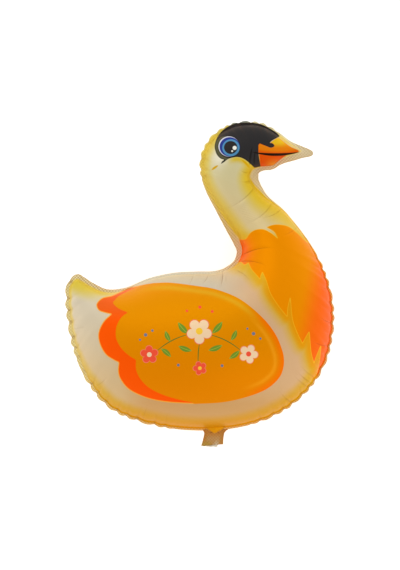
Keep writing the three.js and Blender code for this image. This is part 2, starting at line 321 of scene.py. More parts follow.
def pulls_and_load(plan):
    """Pulls between neighbours along a rib, from rib to rib and on the slant, their sum at every point, and
    the load there. Two neighbours pull on each other with half the cotangents of the angles facing their
    side, and the load is a third of the area of the triangles that meet at the point."""
    here, next_rib, next_across, beyond = plan[:-1, :-1], plan[1:, :-1], plan[:-1, 1:], plan[1:, 1:]
    on_rib, between, slanting = np.zeros(plan[:, 1:].shape[:2]), np.zeros(plan[1:].shape[:2]), 0
    load = np.zeros(plan.shape[:2])
    for a, b, c, skipped in ((here, next_rib, beyond, True), (here, beyond, next_across, False)):
        at_a, area = half_cotangent(a, b, c)
        at_b, _ = half_cotangent(b, c, a)
        at_c, _ = half_cotangent(c, a, b)
        if skipped:
            on_rib[1:] += at_a
            slanting = slanting + at_b
            between[:, :-1] += at_c
            load[1:, :-1] += area / 3
        else:
            between[:, 1:] += at_a
            on_rib[:-1] += at_b
            slanting = slanting + at_c
            load[:-1, 1:] += area / 3
        load[:-1, :-1] += area / 3
        load[1:, 1:] += area / 3
    total = np.zeros(plan.shape[:2])
    total[:, :-1] += on_rib
    total[:, 1:] += on_rib
    total[:-1] += between
    total[1:] += between
    total[:-1, :-1] += slanting
    total[1:, 1:] += slanting
    return on_rib, between, slanting, total, load


# %% Solve the soap film's sag


def sag_over(plan):
    """Sag of a soap film with unit load over the plan, held at zero on the edge. Going forwards, each rib
    is written in terms of the next one, and going back, each gets its values."""
    on_rib, between, slanting, total, load = pulls_and_load(plan)
    inner = plan.shape[1] - 2
    line, step = np.arange(inner), np.arange(inner - 1)
    passed_on, own = [], []
    to_next = np.zeros((inner, inner))
    carried, pressed = np.zeros((inner, inner)), np.zeros(inner)
    for i in range(1, len(plan) - 1):
        rib = -carried
        rib[line, line] += total[i, 1:-1]
        rib[step, step + 1] -= on_rib[i, 1:-1]
        rib[step + 1, step] -= on_rib[i, 1:-1]
        to_next = np.zeros((inner, inner))
        to_next[line, line] = -between[i, 1:-1]
        to_next[step, step + 1] = -slanting[i, 1:-1]
        solved = np.linalg.solve(rib, np.column_stack([to_next, load[i, 1:-1] - pressed]))
        passed_on.append(solved[:, :-1])
        own.append(solved[:, -1])
        carried = to_next.T @ solved[:, :-1]
        pressed = to_next.T @ solved[:, -1]
    sag = np.zeros(plan.shape[:2])
    for i in range(len(plan) - 2, 0, -1):
        sag[i, 1:-1] = own[i - 1] - passed_on[i - 1] @ sag[i + 1, 1:-1]
    return sag


height = PLUMPNESS * np.sqrt(2 * np.maximum(sag_over(plan), 0))
print(f"height: {height.max():.1f} mm over the seam at its fullest")

# %% [markdown]
# ## From the plan to the film
#
# The film carries the rim's puckers inwards as soft folds that fade within a hand's width, and a few
# longer creases where the bird bends. They are moves along the surface's normal, because a fold in real
# film stands square to the film and not upwards. Bump alone wouldn't show at the edge of the figure.

# %% Add the rim to the plan
RIM_SHARES = np.array([0.16, 0.33, 0.5, 0.68, 0.85, 0.96, 1.0])
RIM_COLUMNS = len(RIM_SHARES)
WELD_FOLLOWS = 0.5
WELD_FADE = 12.0
CROWN = (16.8, 22)
FOLD_REACH = 26.0
WAVE_REACH = 52.0


def weld_follows(place):
    """How much of each lobe the weld follows: half, and little over the crown."""
    return WELD_FOLLOWS * (1 - 0.8 * in_stretch(place, *CROWN))


def rim_of(place):
    """Points from the weld, which follows a part of each lobe, to the cut edge, which follows all of it."""
    out = lobe(place)
    inner = weld(place) + outward(place) * (weld_follows(place) * out)[:, None]
    return inner[:, None] + (cut_edge(place, out) - inner)[:, None] * RIM_SHARES[:, None]


rib_width = np.linalg.norm(upper_end - lower_end, axis=1)[:, None]
from_upper, from_lower = rib_width * across, rib_width * (1 - across)
upper_lobe, lower_lobe = lobe(places)[:, None], lobe(-places)[:, None]


def carried_in(at_upper, at_lower, reach):
    """A value at the two ends of every rib, carried along it and fading with the distance from its end."""
    upper = at_upper * np.exp(-from_upper / reach) * (1 - across)
    return upper + at_lower * np.exp(-from_lower / reach) * across


shift_up = carried_in(upper_lobe, 0, WELD_FADE) * weld_follows(places)[:, None]
shift_low = carried_in(0, lower_lobe, WELD_FADE) * weld_follows(-places)[:, None]
film_plan = plan + shift_up[..., None] * outward(places)[:, None]
film_plan += shift_low[..., None] * outward(-places)[:, None]
upper_rim, lower_rim = rim_of(places), rim_of(-places)
whole_plan = np.concatenate([upper_rim[:, ::-1], film_plan, lower_rim], axis=1)
chamber = slice(RIM_COLUMNS, RIM_COLUMNS + CROSSINGS + 1)
CHAMBER_MIDDLE = RIM_COLUMNS + CROSSINGS // 2
print("plan with rim:", whole_plan.shape[:2], "figure", np.ptp(whole_plan.reshape(-1, 2), axis=0).round(1))

# %% Carry the lobes inwards as folds
FOLD_SHARE = 0.55
FOLD_START = 5.0
rim_thickness = SEAM_HALF_THICKNESS * np.sqrt(1 - RIM_SHARES**8)
wave_up, wave_low = seam_wave(places)[:, None], seam_wave(-places)[:, None]
calm_crown = (1 - in_stretch(places, *CROWN))[:, None]
film_wave = carried_in(wave_up * (0.3 + 0.7 * calm_crown), wave_low, WAVE_REACH)
start_up, start_low = 1 - np.exp(-from_upper / FOLD_START), 1 - np.exp(-from_lower / FOLD_START)
folds = carried_in(upper_lobe, 0, FOLD_REACH) * start_up * calm_crown
folds += carried_in(0, lower_lobe, FOLD_REACH) * start_low
print(f"folds up to {folds.max():.1f} mm high and {-folds.min():.1f} mm deep")

# %% Name the creases and the ripples
# Each row: start and end in hundredths of the height, how far it bows, its depth and width in millimetres
FRONT_CREASES = [
    (15.3, 83.4, 12.0, 84.5, 0.3, 1.2, 2.0),
    (16.0, 80.8, 12.6, 80.7, 0.3, 1.2, 2.0),
    (16.9, 78.1, 6.6, 71.4, 1.2, 1.5, 2.4),
    (22.8, 73.2, 14.0, 66.6, 1.1, 1.3, 2.2),
    (25.9, 71.6, 18.4, 68.6, 0.8, 1.2, 2.2),
    (31.5, 66.0, 25.0, 62.5, 0.4, 1.0, 2.2),
    (13.0, 56.6, 25.6, 58.6, 1.3, 1.8, 2.6),
    (13.0, 54.8, 22.0, 52.6, 0.9, 1.6, 2.4),
    (11.6, 52.0, 16.4, 47.6, 0.5, 1.1, 2.2),
    (7.2, 51.2, 6.3, 45.8, 0.2, 1.4, 2.0),
    (2.4, 50.2, 0.2, 46.9, 0.2, 1.2, 2.0),
    (-2.4, 50.2, -4.0, 47.0, 0.2, 1.0, 2.0),
    (35.9, 15.4, 29.6, 20.8, 0.3, 1.6, 1.8),
    (34.8, 14.2, 29.2, 18.9, 0.3, 1.3, 1.6),
    (36.7, 17.4, 31.0, 22.2, 0.3, 1.2, 1.6),
    (29.4, 9.2, 24.8, 13.8, 0.3, 1.5, 2.0),
    (42.0, 45.8, 38.2, 46.8, 0.3, 1.4, 2.0),
    (42.2, 35.0, 37.6, 37.6, 0.4, 1.8, 2.2),
    (41.4, 27.4, 34.6, 30.0, 0.5, 2.0, 2.2),
    (40.4, 22.0, 36.6, 24.4, 0.2, 1.2, 2.0),
    (-33.6, 14.6, -29.0, 19.0, -0.4, 1.0, 2.2),
    (-18.4, 4.0, -16.6, 9.4, 0.2, 0.9, 2.0),
    (-40.4, 33.0, -36.0, 33.6, 0.2, 0.8, 2.2),
]
BACK_CREASES = [
    (15.6, 82.4, 9.8, 80.6, 0.5, 1.6, 2.6),
    (20.4, 75.4, 10.6, 71.0, 0.8, 1.8, 2.6),
    (13.4, 56.6, 25.0, 58.4, 1.0, 2.2, 2.6),
    (9.2, 52.4, 10.4, 45.0, 0.4, 1.6, 2.4),
    (-1.6, 50.8, -2.6, 45.4, 0.2, 1.4, 2.2),
    (41.6, 40.4, 35.0, 41.0, 0.4, 1.8, 2.4),
    (38.0, 18.6, 31.6, 23.0, 0.4, 1.6, 2.2),
    (-30.2, 9.6, -25.6, 14.6, 0.4, 1.4, 2.4),
]
# Each row: middle in hundredths of the height, reach, pitch and depth in millimetres, and its direction
RIPPLES = [
    (15.0, 70.4, 26, 5.2, 0.22, 1.25),
    (10.2, 77.6, 20, 4.6, 0.2, 1.5),
    (11.0, 82.2, 15, 4.2, 0.16, 1.6),
    (5.4, 48.2, 22, 6.0, 0.14, 0.2),
    (31.0, 17.6, 30, 6.4, 0.16, 0.85),
]
print(f"{len(FRONT_CREASES)} creases in front, {len(BACK_CREASES)} behind, {len(RIPPLES)} patches of ripples")

# %% Turn them into relief


def along_and_aside(points, x0, y0, x1, y1, bow):
    """Share of the way along a crease, and the signed distance from its bowed line in millimetres. The
    line is a parabola over the straight one."""
    start = np.array([x0, y0]) * FIGURE_HEIGHT / 100
    run = np.array([x1, y1]) * FIGURE_HEIGHT / 100 - start
    length = np.hypot(*run)
    ahead = run / length
    t = (points - start) @ ahead / length
    return t, (points - start) @ np.array([-ahead[1], ahead[0]]) - bow * FIGURE_HEIGHT / 25 * t * (1 - t)


def fade_along(t):
    """A crease comes out of the rim at once and runs out slowly."""
    return ease((t + 0.15) / 0.3) * ease((1 - t) / 0.75)


def crease_relief(points, creases):
    """Each crease is a groove, sharp in its bottom: its depth times an exponential of the distance from
    its line over its width. The film beside it stands a little proud."""
    relief = np.zeros(points.shape[:-1])
    for *line, depth, width in creases:
        t, aside = along_and_aside(points, *line)
        relief -= depth * fade_along(t) * np.exp(-np.abs(aside) / width)
        relief += 0.35 * depth * fade_along(t) * np.exp(-(((aside - 3 * width) / (2.2 * width)) ** 2))
    return relief


CREASE_REACH = 5.0


def nearest_crease(points, creases):
    """Signed distance from the nearest crease's line, and how strong that crease is at the point. The
    strength is nought halfway to the next crease, where the distance would change its sign."""
    nearest = np.full(points.shape[:-1], FAR)
    strength = np.zeros(points.shape[:-1])
    for *line, depth, _ in creases:
        t, aside = along_and_aside(points, *line)
        closer = (np.abs(aside) < np.abs(nearest)) & (t > -0.2) & (t < 1.2)
        nearest[closer] = aside[closer]
        own = min(depth / 1.6, 1) * fade_along(t) * (1 - ease(np.abs(aside) / CREASE_REACH))
        strength[closer] = own[closer]
    return nearest, strength


def ripple_relief(points):
    """Fine gathers: a sine across them, inside a soft round patch."""
    relief = np.zeros(points.shape[:-1])
    for x, y, reach, pitch, depth, turn in RIPPLES:
        off = points - np.array([x, y]) * FIGURE_HEIGHT / 100
        phase = off @ np.array([np.cos(turn), np.sin(turn)]) + 0.05 * off[..., 0] ** 2 / reach
        relief += depth * np.sin(2 * np.pi * phase / pitch) * np.exp(-(off**2).sum(-1) / reach**2)
    return relief


# %% Shape both films


def shape_film(side, creases):
    """The film on one side of the seam: the height and the seam's wave, moved along its normal by folds
    and creases. Returns the points in millimetres, with the seam's plane at nought."""
    film = np.dstack([film_plan, side * (height + SEAM_HALF_THICKNESS) + film_wave])
    normal = np.cross(np.gradient(film, axis=1), np.gradient(film, axis=0)) * side
    normal /= np.maximum(np.linalg.norm(normal, axis=-1, keepdims=True), 1e-9)
    free = np.minimum(from_upper, from_lower)
    calm = ease(free / 14) * ease(rib_width / 40)
    moved = FOLD_SHARE * folds * ease(rib_width / 60)
    moved = moved + calm * (crease_relief(film_plan, creases) + ripple_relief(film_plan))
    film += normal * moved[..., None]
    rims = []
    for flat, wave in ((upper_rim, wave_up), (lower_rim, wave_low)):
        rims.append(np.dstack([flat, side * rim_thickness + wave * np.ones(RIM_COLUMNS)]))
    return np.concatenate([rims[0][:, ::-1], film, rims[1]], axis=1)


front = shape_film(1, FRONT_CREASES)
back = shape_film(-1, BACK_CREASES)
print(f"front {front[..., 2].max():.1f} mm over the seam, back {-back[..., 2].min():.1f} mm under it")

# %% [markdown]
# ## Lay it on the ground
#
# The seam lies in one plane, whose height the valve's box gives. The balloon is light but not weightless,
# so where its back would reach under the ground it is pressed flat, with a soft turn at the border.

# %% Move the films into place
BACK_SOFTNESS = 2.0
valve_low, valve_high = (np.array(corner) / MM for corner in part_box("valve_film"))
SEAM_PLANE = (valve_low[2] + valve_high[2]) / 2
box_low, box_high = np.array(cad_box) / MM
edge_x = whole_plan[..., 0]
MOVE_X = (box_low[0] + box_high[0]) / 2 - (edge_x.min() + edge_x.max()) / 2
MOVE_Y = box_high[1] - whole_plan[..., 1].max()


def placed(points):
    """Plan coordinates to the frame's, in metres. Below the seam the height is pressed flat on the ground:
    the logarithm of one plus an exponential keeps it above nought and leaves the rest as it was."""
    moved = points + np.array([MOVE_X, MOVE_Y, SEAM_PLANE])
    low = moved[..., 2] < SEAM_PLANE / 2
    pressed = BACK_SOFTNESS * np.log1p(np.exp(np.where(low, moved[..., 2], 0) / BACK_SOFTNESS))
    moved[..., 2] = np.where(low, pressed, moved[..., 2])
    return moved * MM


print(f"seam plane {SEAM_PLANE:.1f} mm up, plan moved by {MOVE_X:.2f}, {MOVE_Y:.2f} mm")

# %% [markdown]
# ## The outlines of the print
#
# Ink on film has sharp edges, so each printed field is kept as the distance to its outline: a material
# can cut that off as sharply as it likes, far finer than the mesh. The outlines are smooth strokes that
# meet in corners, and each is given by a few points in hundredths of the figure's height.

# %% Draw the mask and the bill
STROKE_STEPS = 6


def stroke(*points):
    """Smooth open curve through a few points, whose ends go on as they began."""
    points = np.array(points, float) * FIGURE_HEIGHT / 100
    first, last = 2 * points[0] - points[1], 2 * points[-1] - points[-2]
    padded = np.vstack([[first], points, [last]])
    at = 1 + np.arange((len(points) - 1) * STROKE_STEPS) / STROKE_STEPS
    return smooth_curve(padded, at)


MASK = np.vstack([
    stroke((7.0, 86.3), (7.7, 87.3), (7.5, 87.9)),
    stroke((7.5, 87.9), (6.5, 88.2), (5.5, 89.2), (4.9, 90.5), (4.6, 92.4), (5.5, 95.2), (7.5, 97.6),
           (10.7, 99.4), (14.2, 99.9), (18.5, 99.6), (21.7, 98.4), (24.6, 96.6), (25.7, 95.4)),
    stroke((25.7, 95.4), (24.6, 94.8), (23.2, 94.0), (22.3, 93.1)),
    stroke((22.3, 93.1), (23.2, 93.2), (24.0, 92.3), (22.9, 91.7), (21.4, 92.2), (19.5, 92.9)),
    stroke((19.5, 92.9), (18.9, 92.0), (18.9, 89.3), (19.5, 85.6)),
    stroke((19.5, 85.6), (17.5, 85.2)),
    stroke((17.5, 85.2), (15.9, 86.7), (14.2, 88.0), (12.1, 88.7), (9.6, 88.3), (8.3, 87.6), (7.0, 86.3)),
])
BILL_ABOVE = np.vstack([
    stroke((19.2, 93.1), (21.4, 92.2), (22.9, 91.7), (24.0, 92.3), (23.2, 93.2), (22.3, 93.1)),
    stroke((22.3, 93.1), (24.6, 94.7), (25.6, 94.7), (27.8, 93.0), (29.4, 91.9), (31.3, 91.1), (31.9, 90.6),
           (31.5, 90.15)),
    stroke((31.5, 90.15), (29.6, 89.8), (26.6, 89.5), (22.4, 89.6), (18.8, 90.2)),
    stroke((18.8, 90.2), (18.8, 93.0)),
])
BILL_BELOW = np.vstack([
    stroke((18.8, 90.8), (22.4, 90.2), (26.4, 90.0), (29.4, 90.2)),
    stroke((29.4, 90.2), (26.9, 88.6), (25.3, 87.4), (23.4, 85.9)),
    stroke((23.4, 85.9), (21.4, 85.7), (19.5, 85.6)),
    stroke((19.5, 85.6), (18.8, 90.8)),
])
print("mask and bill:", len(MASK), len(BILL_ABOVE), len(BILL_BELOW), "points")

# %% Draw the breast's feathers
BREAST = np.vstack([
    stroke((12.7, 62.1), (14.6, 62.2), (16.0, 64.0), (17.8, 65.1), (20.3, 65.3), (22.7, 64.2), (25.0, 62.4)),
    stroke((25.0, 62.4), (23.8, 64.4), (21.3, 65.9)),
    stroke((21.3, 65.9), (23.4, 66.7), (25.9, 66.8), (28.7, 66.1), (31.5, 64.0), (34.0, 61.6), (36.8, 59.4),
           (40.6, 54.6), (45.8, 45.6), (48.1, 32.6), (45.8, 21.2), (42.8, 14.7), (37.4, 17.5)),
    stroke((37.4, 17.5), (38.4, 21.9), (39.0, 27.3)),
    stroke((39.0, 27.3), (37.7, 24.1), (36.8, 21.5)),
    stroke((36.8, 21.5), (35.8, 25.4), (35.2, 31.9)),
    stroke((35.2, 31.9), (33.9, 29.6), (33.1, 28.0)),
    stroke((33.1, 28.0), (31.1, 32.1), (29.7, 36.4), (29.1, 42.9)),
    stroke((29.1, 42.9), (28.4, 39.7), (28.2, 36.6)),
    stroke((28.2, 36.6), (25.2, 40.4), (22.7, 44.3), (21.3, 48.5), (20.1, 51.3)),
    stroke((20.1, 51.3), (19.6, 50.1), (19.4, 48.9)),
    stroke((19.4, 48.9), (17.9, 50.6), (16.4, 52.4), (15.5, 54.3)),
    stroke((15.5, 54.3), (14.8, 53.8), (14.1, 53.6)),
    stroke((14.1, 53.6), (13.2, 54.5)),
    stroke((13.2, 54.5), (11.7, 54.6), (10.7, 58.5), (12.7, 62.1)),
])
print("breast:", len(BREAST), "points")

# %% Draw the wing, with its under layer
WING_EDGE = (
    (-2.1, 8.6), (5.9, 9.0), (11.8, 10.0), (18.1, 11.9), (22.3, 14.0), (25.6, 17.2), (26.9, 20.5),
    (27.0, 23.8), (26.2, 26.9), (24.7, 30.5), (22.4, 34.0), (19.5, 37.2), (15.5, 40.7), (11.7, 43.2),
    (7.4, 45.0), (3.7, 46.1), (0.0, 46.7), (-9.5, 47.9), (-15.2, 47.8),
)
WING_UNDER = np.vstack([
    stroke((-15.2, 47.8), (-18.9, 47.2), (-22.6, 46.4), (-26.3, 44.9), (-28.8, 43.8), (-31.7, 43.1),
           (-33.4, 41.7), (-33.8, 40.4), (-32.9, 38.8), (-30.6, 38.0), (-29.1, 37.7)),
    stroke((-29.1, 37.7), (-31.3, 35.6), (-32.8, 32.9), (-33.2, 30.3), (-32.4, 27.2), (-30.7, 24.5),
           (-28.4, 22.9), (-26.6, 22.0)),
    stroke((-26.6, 22.0), (-26.8, 19.3), (-26.1, 16.7), (-23.7, 13.6), (-19.9, 11.4), (-15.4, 9.9),
           (-9.6, 9.0), (-2.1, 8.6)),
    stroke(*WING_EDGE),
])
WING_OVER = np.vstack([
    stroke((-15.2, 47.8), (-18.9, 47.1), (-22.6, 45.6), (-26.3, 43.7), (-27.8, 42.2), (-28.3, 41.3),
           (-27.1, 40.0), (-25.6, 39.1), (-23.5, 38.3)),
    stroke((-23.5, 38.3), (-25.6, 36.7), (-27.1, 34.1), (-27.5, 31.4), (-27.1, 29.2), (-25.6, 26.6),
           (-23.3, 24.4), (-20.9, 22.9)),
    stroke((-20.9, 22.9), (-20.9, 19.9), (-19.6, 16.9), (-16.7, 13.9), (-12.2, 11.6), (-6.9, 10.0),
           (-2.1, 9.0)),
    stroke(*WING_EDGE),
])
OUTLINES = {
    "mask": MASK, "bill_above": BILL_ABOVE, "bill_below": BILL_BELOW,
    "breast": BREAST, "wing_under": WING_UNDER, "wing_over": WING_OVER,
}
print("wing:", len(WING_UNDER), len(WING_OVER), "points, outlines:", *OUTLINES)

# %% [markdown]
# ## Where the print falls on the film
#
# The outlines were measured in a photograph taken from straight above. What stands nearer to the lens
# looks larger, so a point on the crown of the film is a little closer to the middle than it looks. The
# print's own flat coordinates undo that, and they are kept on the film as an attribute, as the sheet's
# printed coordinates would be. Both films carry the same print, so the back shows it mirrored.

# %% Give the film its flat coordinates
VIEW_DISTANCE = 5700.0
VIEW_MIDDLE = np.array([-1.2, 349.1])


def print_place(points):
    """Flat coordinates of the print: the distance from the middle of the view grows by the share that the
    point's height over the seam is of the distance still left to the lens."""
    off = points[..., :2] - VIEW_MIDDLE
    return VIEW_MIDDLE + off * (VIEW_DISTANCE / (VIEW_DISTANCE - np.abs(points[..., 2])))[..., None]


def signed_distance(points, outline):
    """Distance to a closed outline, positive inside. The nearest of its straight pieces gives it, and a
    point is inside when a line drawn sideways from it crosses the outline an odd number of times."""
    x, y = points[..., 0], points[..., 1]
    nearest = np.full(x.shape, np.inf)
    inside = np.zeros(x.shape, bool)
    for (ax, ay), (bx, by) in zip(outline, np.roll(outline, -1, axis=0)):
        run_x, run_y = bx - ax, by - ay
        length = run_x**2 + run_y**2
        if length == 0:
            continue
        t = np.clip(((x - ax) * run_x + (y - ay) * run_y) / length, 0, 1)
        nearest = np.minimum(nearest, (x - ax - t * run_x) ** 2 + (y - ay - t * run_y) ** 2)
        if ay != by:
            inside ^= ((ay > y) != (by > y)) & (x < ax + run_x * (y - ay) / run_y)
    return np.where(inside, 1, -1) * np.sqrt(nearest)


flat = print_place(front)
x, y = (flat[..., axis] * 100 / FIGURE_HEIGHT for axis in (0, 1))
ink_distance = {name: signed_distance(flat, outline) for name, outline in OUTLINES.items()}
print("inked shares:", {name: round(float((d > 0).mean()), 3) for name, d in ink_distance.items()})

# %% Measure how far each point lies from the weld, and beside which place
WELD_PIECES = 10


def nearest_on_weld(points):
    """Distance to the weld and the place there, from the nearest of many short pieces of it."""
    at = np.arange(WHOLE_TURN * WELD_PIECES + 1) / WELD_PIECES
    corners = weld(at)
    nearest = np.full(points.shape[:-1], np.inf)
    place = np.zeros(points.shape[:-1])
    for start, corner, following in zip(at, corners[:-1], corners[1:]):
        run = following - corner
        off = points - corner
        t = np.clip(off @ run / (run @ run), 0, 1)
        distance = ((off - t[..., None] * run) ** 2).sum(-1)
        closer = distance < nearest
        nearest[closer] = distance[closer]
        place[closer] = start + t[closer] / WELD_PIECES
    return np.sqrt(nearest), place


from_weld, beside = nearest_on_weld(np.concatenate([upper_rim[:, ::-1], plan, lower_rim], axis=1))
rim_columns = np.ones(whole_plan.shape[1], bool)
rim_columns[chamber] = False
from_weld[:, rim_columns] *= -1
print(f"the film reaches {from_weld.max():.0f} mm in from the weld, the rim {-from_weld.min():.0f} mm out")

# %% [markdown]
# ## The soft colours of the print
#
# Much of what has no sharp edge is airbrushed print, such as the yellow sprayed along the edges. The cream
# grows darker and warmer towards the belly, which is painted shade. Such a gradient is wide next to the
# mesh, so it is worked out for every point and kept as a colour. It needs no image and no chain of nodes, and
# any of its values can be changed in one place.

# %% Name the creams and the sprays
# The creams lower down carry painted shade: darker and warmer towards the belly
NECK_CREAM = (208, 198, 152)
THROAT_CREAM = (214, 193, 142)
BACK_CREAM = (198, 189, 169)
WING_CREAM = (209, 188, 154)
SHADED_BELLY_CREAM = (201, 155, 100)
BREAST_CREAM = (211, 170, 127)
LEFT_CREAM = (210, 198, 173)
SHADED_LEFT_CREAM = (205, 176, 130)
# Each row: place, how far the spray reaches in millimetres, its strength and its colour
SPRAYS = [
    (0.0, 13, 0.9, (218, 190, 58)), (2.6, 13, 0.9, (216, 188, 62)), (3.6, 12, 0.6, (214, 190, 84)),
    (4.6, 8, 0.15, (210, 194, 140)), (9.6, 8, 0.15, (210, 188, 110)), (10.6, 22, 0.8, (218, 184, 56)),
    (12, 36, 1.0, (214, 176, 40)), (13, 34, 1.0, (212, 183, 66)), (14.5, 26, 1.0, (208, 184, 84)),
    (16, 22, 1.0, (204, 182, 84)), (17, 23, 1.0, (206, 182, 74)), (18.2, 22, 1.0, (206, 182, 74)),
    (19.5, 15, 1.0, (214, 188, 80)),
    (23, 10, 0.6, (222, 190, 110)), (28.5, 14, 0.9, (212, 174, 34)), (30, 29, 1.0, (208, 170, 26)),
    (31, 40, 1.0, (214, 182, 34)), (32, 55, 1.0, (218, 184, 38)), (32.8, 56, 0.95, (216, 180, 50)),
    (33.4, 36, 0.9, (218, 184, 70)), (34, 20, 0.8, (218, 178, 60)), (36.4, 16, 0.8, (214, 170, 44)),
    (37.0, 32, 1.0, (208, 160, 24)), (38, 37, 1.0, (206, 150, 14)), (39.9, 37, 1.0, (206, 136, 4)),
    (41.5, 37, 1.0, (204, 144, 10)), (42.6, 32, 0.95, (204, 158, 32)), (43.4, 20, 0.8, (206, 174, 70)),
    (44.4, 8, 0.7, (214, 190, 96)), (46.4, 8, 0.8, (216, 192, 84)), (WHOLE_TURN, 13, 0.9, (218, 190, 58)),
]
# Each row: place, and how much of the rim's width the print covers from the weld outwards
PRINT_COVERS = [
    (0.0, 0.1), (1.5, 0.1), (4.0, 0.0), (12.2, 0.0), (13.0, 0.25), (14.0, 0.5), (15.5, 0.7), (18.5, 0.7),
    (19.2, 0.45), (21.8, 0.4), (23.0, 0.0), (30.6, 0.0), (31.4, 0.2), (32.4, 0.4), (33.6, 0.25), (34.4, 0.6),
    (37.6, 0.5), (38.4, 0.4), (41.2, 0.4), (42.4, 0.3), (43.2, 0.05), (WHOLE_TURN, 0.1),
]
print("spray reaches", min(row[1] for row in SPRAYS), "to", max(row[1] for row in SPRAYS), "mm in")

# %% Mix the ground: airbrushed print, with painted shade towards the belly


def along_rim(rows, place):
    """Values given at some places of the rim, carried evenly from one place to the next."""
    table = np.array([np.hstack(row) for row in rows], float)
    return np.stack([np.interp(place, table[:, 0], column) for column in table.T[1:]], axis=-1)


def blend(under, over, share):
    """Over laid on under, as dense as the share says."""
    share = np.asarray(share)[..., None]
    return under * (1 - share) + np.asarray(over, float) * share


def print_and_shade_ground(x, y, inside, place):
    """Cream by height, with painted shade that makes it darker and warmer towards the belly, warmer to the
    right and paler to the left, with the rim's spray fading inwards as a smooth step."""
    # Painted shade: the creams grow darker and warmer towards the belly
    levels = [0, 9, 27, 47, 58, 70, 84]
    creams = [SHADED_BELLY_CREAM, SHADED_BELLY_CREAM, WING_CREAM, BACK_CREAM, THROAT_CREAM, THROAT_CREAM, NECK_CREAM]
    creams = np.array(creams, float)
    ground = np.stack([np.interp(y, levels, creams[:, part]) for part in range(3)], axis=-1)
    ground = blend(ground, BREAST_CREAM, 0.9 * ease((x - 1) / 18) * ease((58 - y) / 12) * ease((y - 6) / 14))
    # Painted shade on the left too: the cream is darker and warmer low down
    left_cream = blend(np.array(SHADED_LEFT_CREAM, float), LEFT_CREAM, ease((y - 8) / 34))
    ground = blend(ground, left_cream, 0.85 * ease((-16 - x) / 12))
    spray = along_rim(SPRAYS, place)
    reach, strength, tint = spray[..., 0], spray[..., 1], spray[..., 2:]
    share = strength * (1 - ease((np.maximum(inside, 0) / reach - 0.08) / 0.92))
    return ground * (1 - share[..., None]) + tint * share[..., None]


ground = print_and_shade_ground(x, y, from_weld, beside)


def sprayed_patch(middle, long_reach, short_reach, turn):
    """1 in the middle of an oval patch and 0 at its border, with a soft fall: the middle is given in
    hundredths of the height, the two reaches in millimetres and the turn of the longer one in radians."""
    off = flat - np.array(middle) * FIGURE_HEIGHT / 100
    ahead = off @ np.array([math.cos(turn), math.sin(turn)]) / long_reach
    aside = off @ np.array([-math.sin(turn), math.cos(turn)]) / short_reach
    return 1 - ease((np.hypot(ahead, aside) - 0.25) / 0.75)


tail_tip = sprayed_patch((-39.6, 48.6), 92, 46, -0.42)
TAIL_TIP_YELLOW = (211, 187, 66)
ground = blend(ground, TAIL_TIP_YELLOW, 0.95 * tail_tip)
print("ground from tail to bill:", ground[:: STATIONS // 5, CHAMBER_MIDDLE].round().astype(int).tolist())

# %% Spray the halo round the breast and the glow under the cheek
HALO_YELLOW = (214, 168, 34)
HALO_ORANGE = (226, 146, 8)
HALO_REACH = 38.0
halo = ease(1 + ink_distance["breast"] / HALO_REACH)
halo *= ease((66 - y) / 5)
ground = blend(ground, HALO_YELLOW, 0.95 * halo)
low_halo = ease((52 - y) / 9)
ground = blend(ground, HALO_ORANGE, 0.9 * ease(1 + ink_distance["breast"] / 20) * low_halo)
HEAD_CREAM = (230, 224, 204)
CHEEK_YELLOW = (214, 182, 50)
head_light = np.exp(-(((flat - np.array([5.9, 88.2]) * FIGURE_HEIGHT / 100) / [17, 22]) ** 2).sum(-1))
ground = blend(ground, HEAD_CREAM, 0.85 * head_light)
cheek = np.exp(-(((ink_distance["mask"] + 5) / 7) ** 2))
cheek *= ease((x - 8.5) / 3) * ease((90 - y) / 1.2) * (from_weld > 0)
ground = blend(ground, CHEEK_YELLOW, 0.9 * cheek)
print("ground runs from", ground.min(axis=(0, 1)).round(), "to", ground.max(axis=(0, 1)).round())

# %% [markdown]
# ## The welded rim
#
# On the rim the print runs out over a part of the width, and the bare film outside it is cream. The rim
# lies in the hollow between the two swollen films and gets little light, so light is painted on: the print
# is made a little lighter on the rim, and a painted highlight runs along the weld itself.

# %% Tint the welded rim
# Each row: place, and the colour of the bare film there
RIM_TINTS = [
    (0.0, (250, 236, 182)), (3.0, (250, 236, 196)), (4.0, (246, 232, 198)), (5.0, (238, 232, 212)),
    (7.4, (238, 232, 212)), (8.4, (250, 236, 204)), (10.2, (250, 224, 180)), (11.5, (252, 232, 182)),
    (13.5, (242, 212, 142)), (17.2, (248, 232, 160)), (18.6, (232, 222, 172)), (18.9, (156, 164, 156)),
    (19.4, (156, 164, 156)), (19.7, (228, 220, 180)), (21.6, (244, 234, 192)), (24.0, (236, 222, 182)),
    (26.0, (246, 222, 174)), (28.0, (252, 224, 178)), (30.0, (255, 244, 206)), (32.5, (255, 238, 190)),
    (33.6, (255, 210, 144)), (36.2, (250, 202, 150)), (37.6, (252, 214, 150)), (39.0, (255, 200, 122)),
    (41.0, (255, 212, 134)), (42.6, (254, 228, 156)), (43.6, (252, 240, 176)), (46.0, (250, 238, 174)),
    (WHOLE_TURN, (250, 236, 182)),
]
# Each row: place, and how strongly the sealing bar's marks show there
SEAL_SHOWS = [
    (0.0, 1.0), (3.2, 0.9), (4.4, 0.15), (8.0, 0.15), (9.4, 0.8), (12.5, 1.0), (15.0, 0.7), (17.0, 0.4),
    (18.2, 0.1), (21.6, 0.1), (23.0, 0.9), (31.0, 1.0), (33.0, 0.6), (38.0, 0.6), (43.0, 0.7),
    (WHOLE_TURN, 1.0),
]
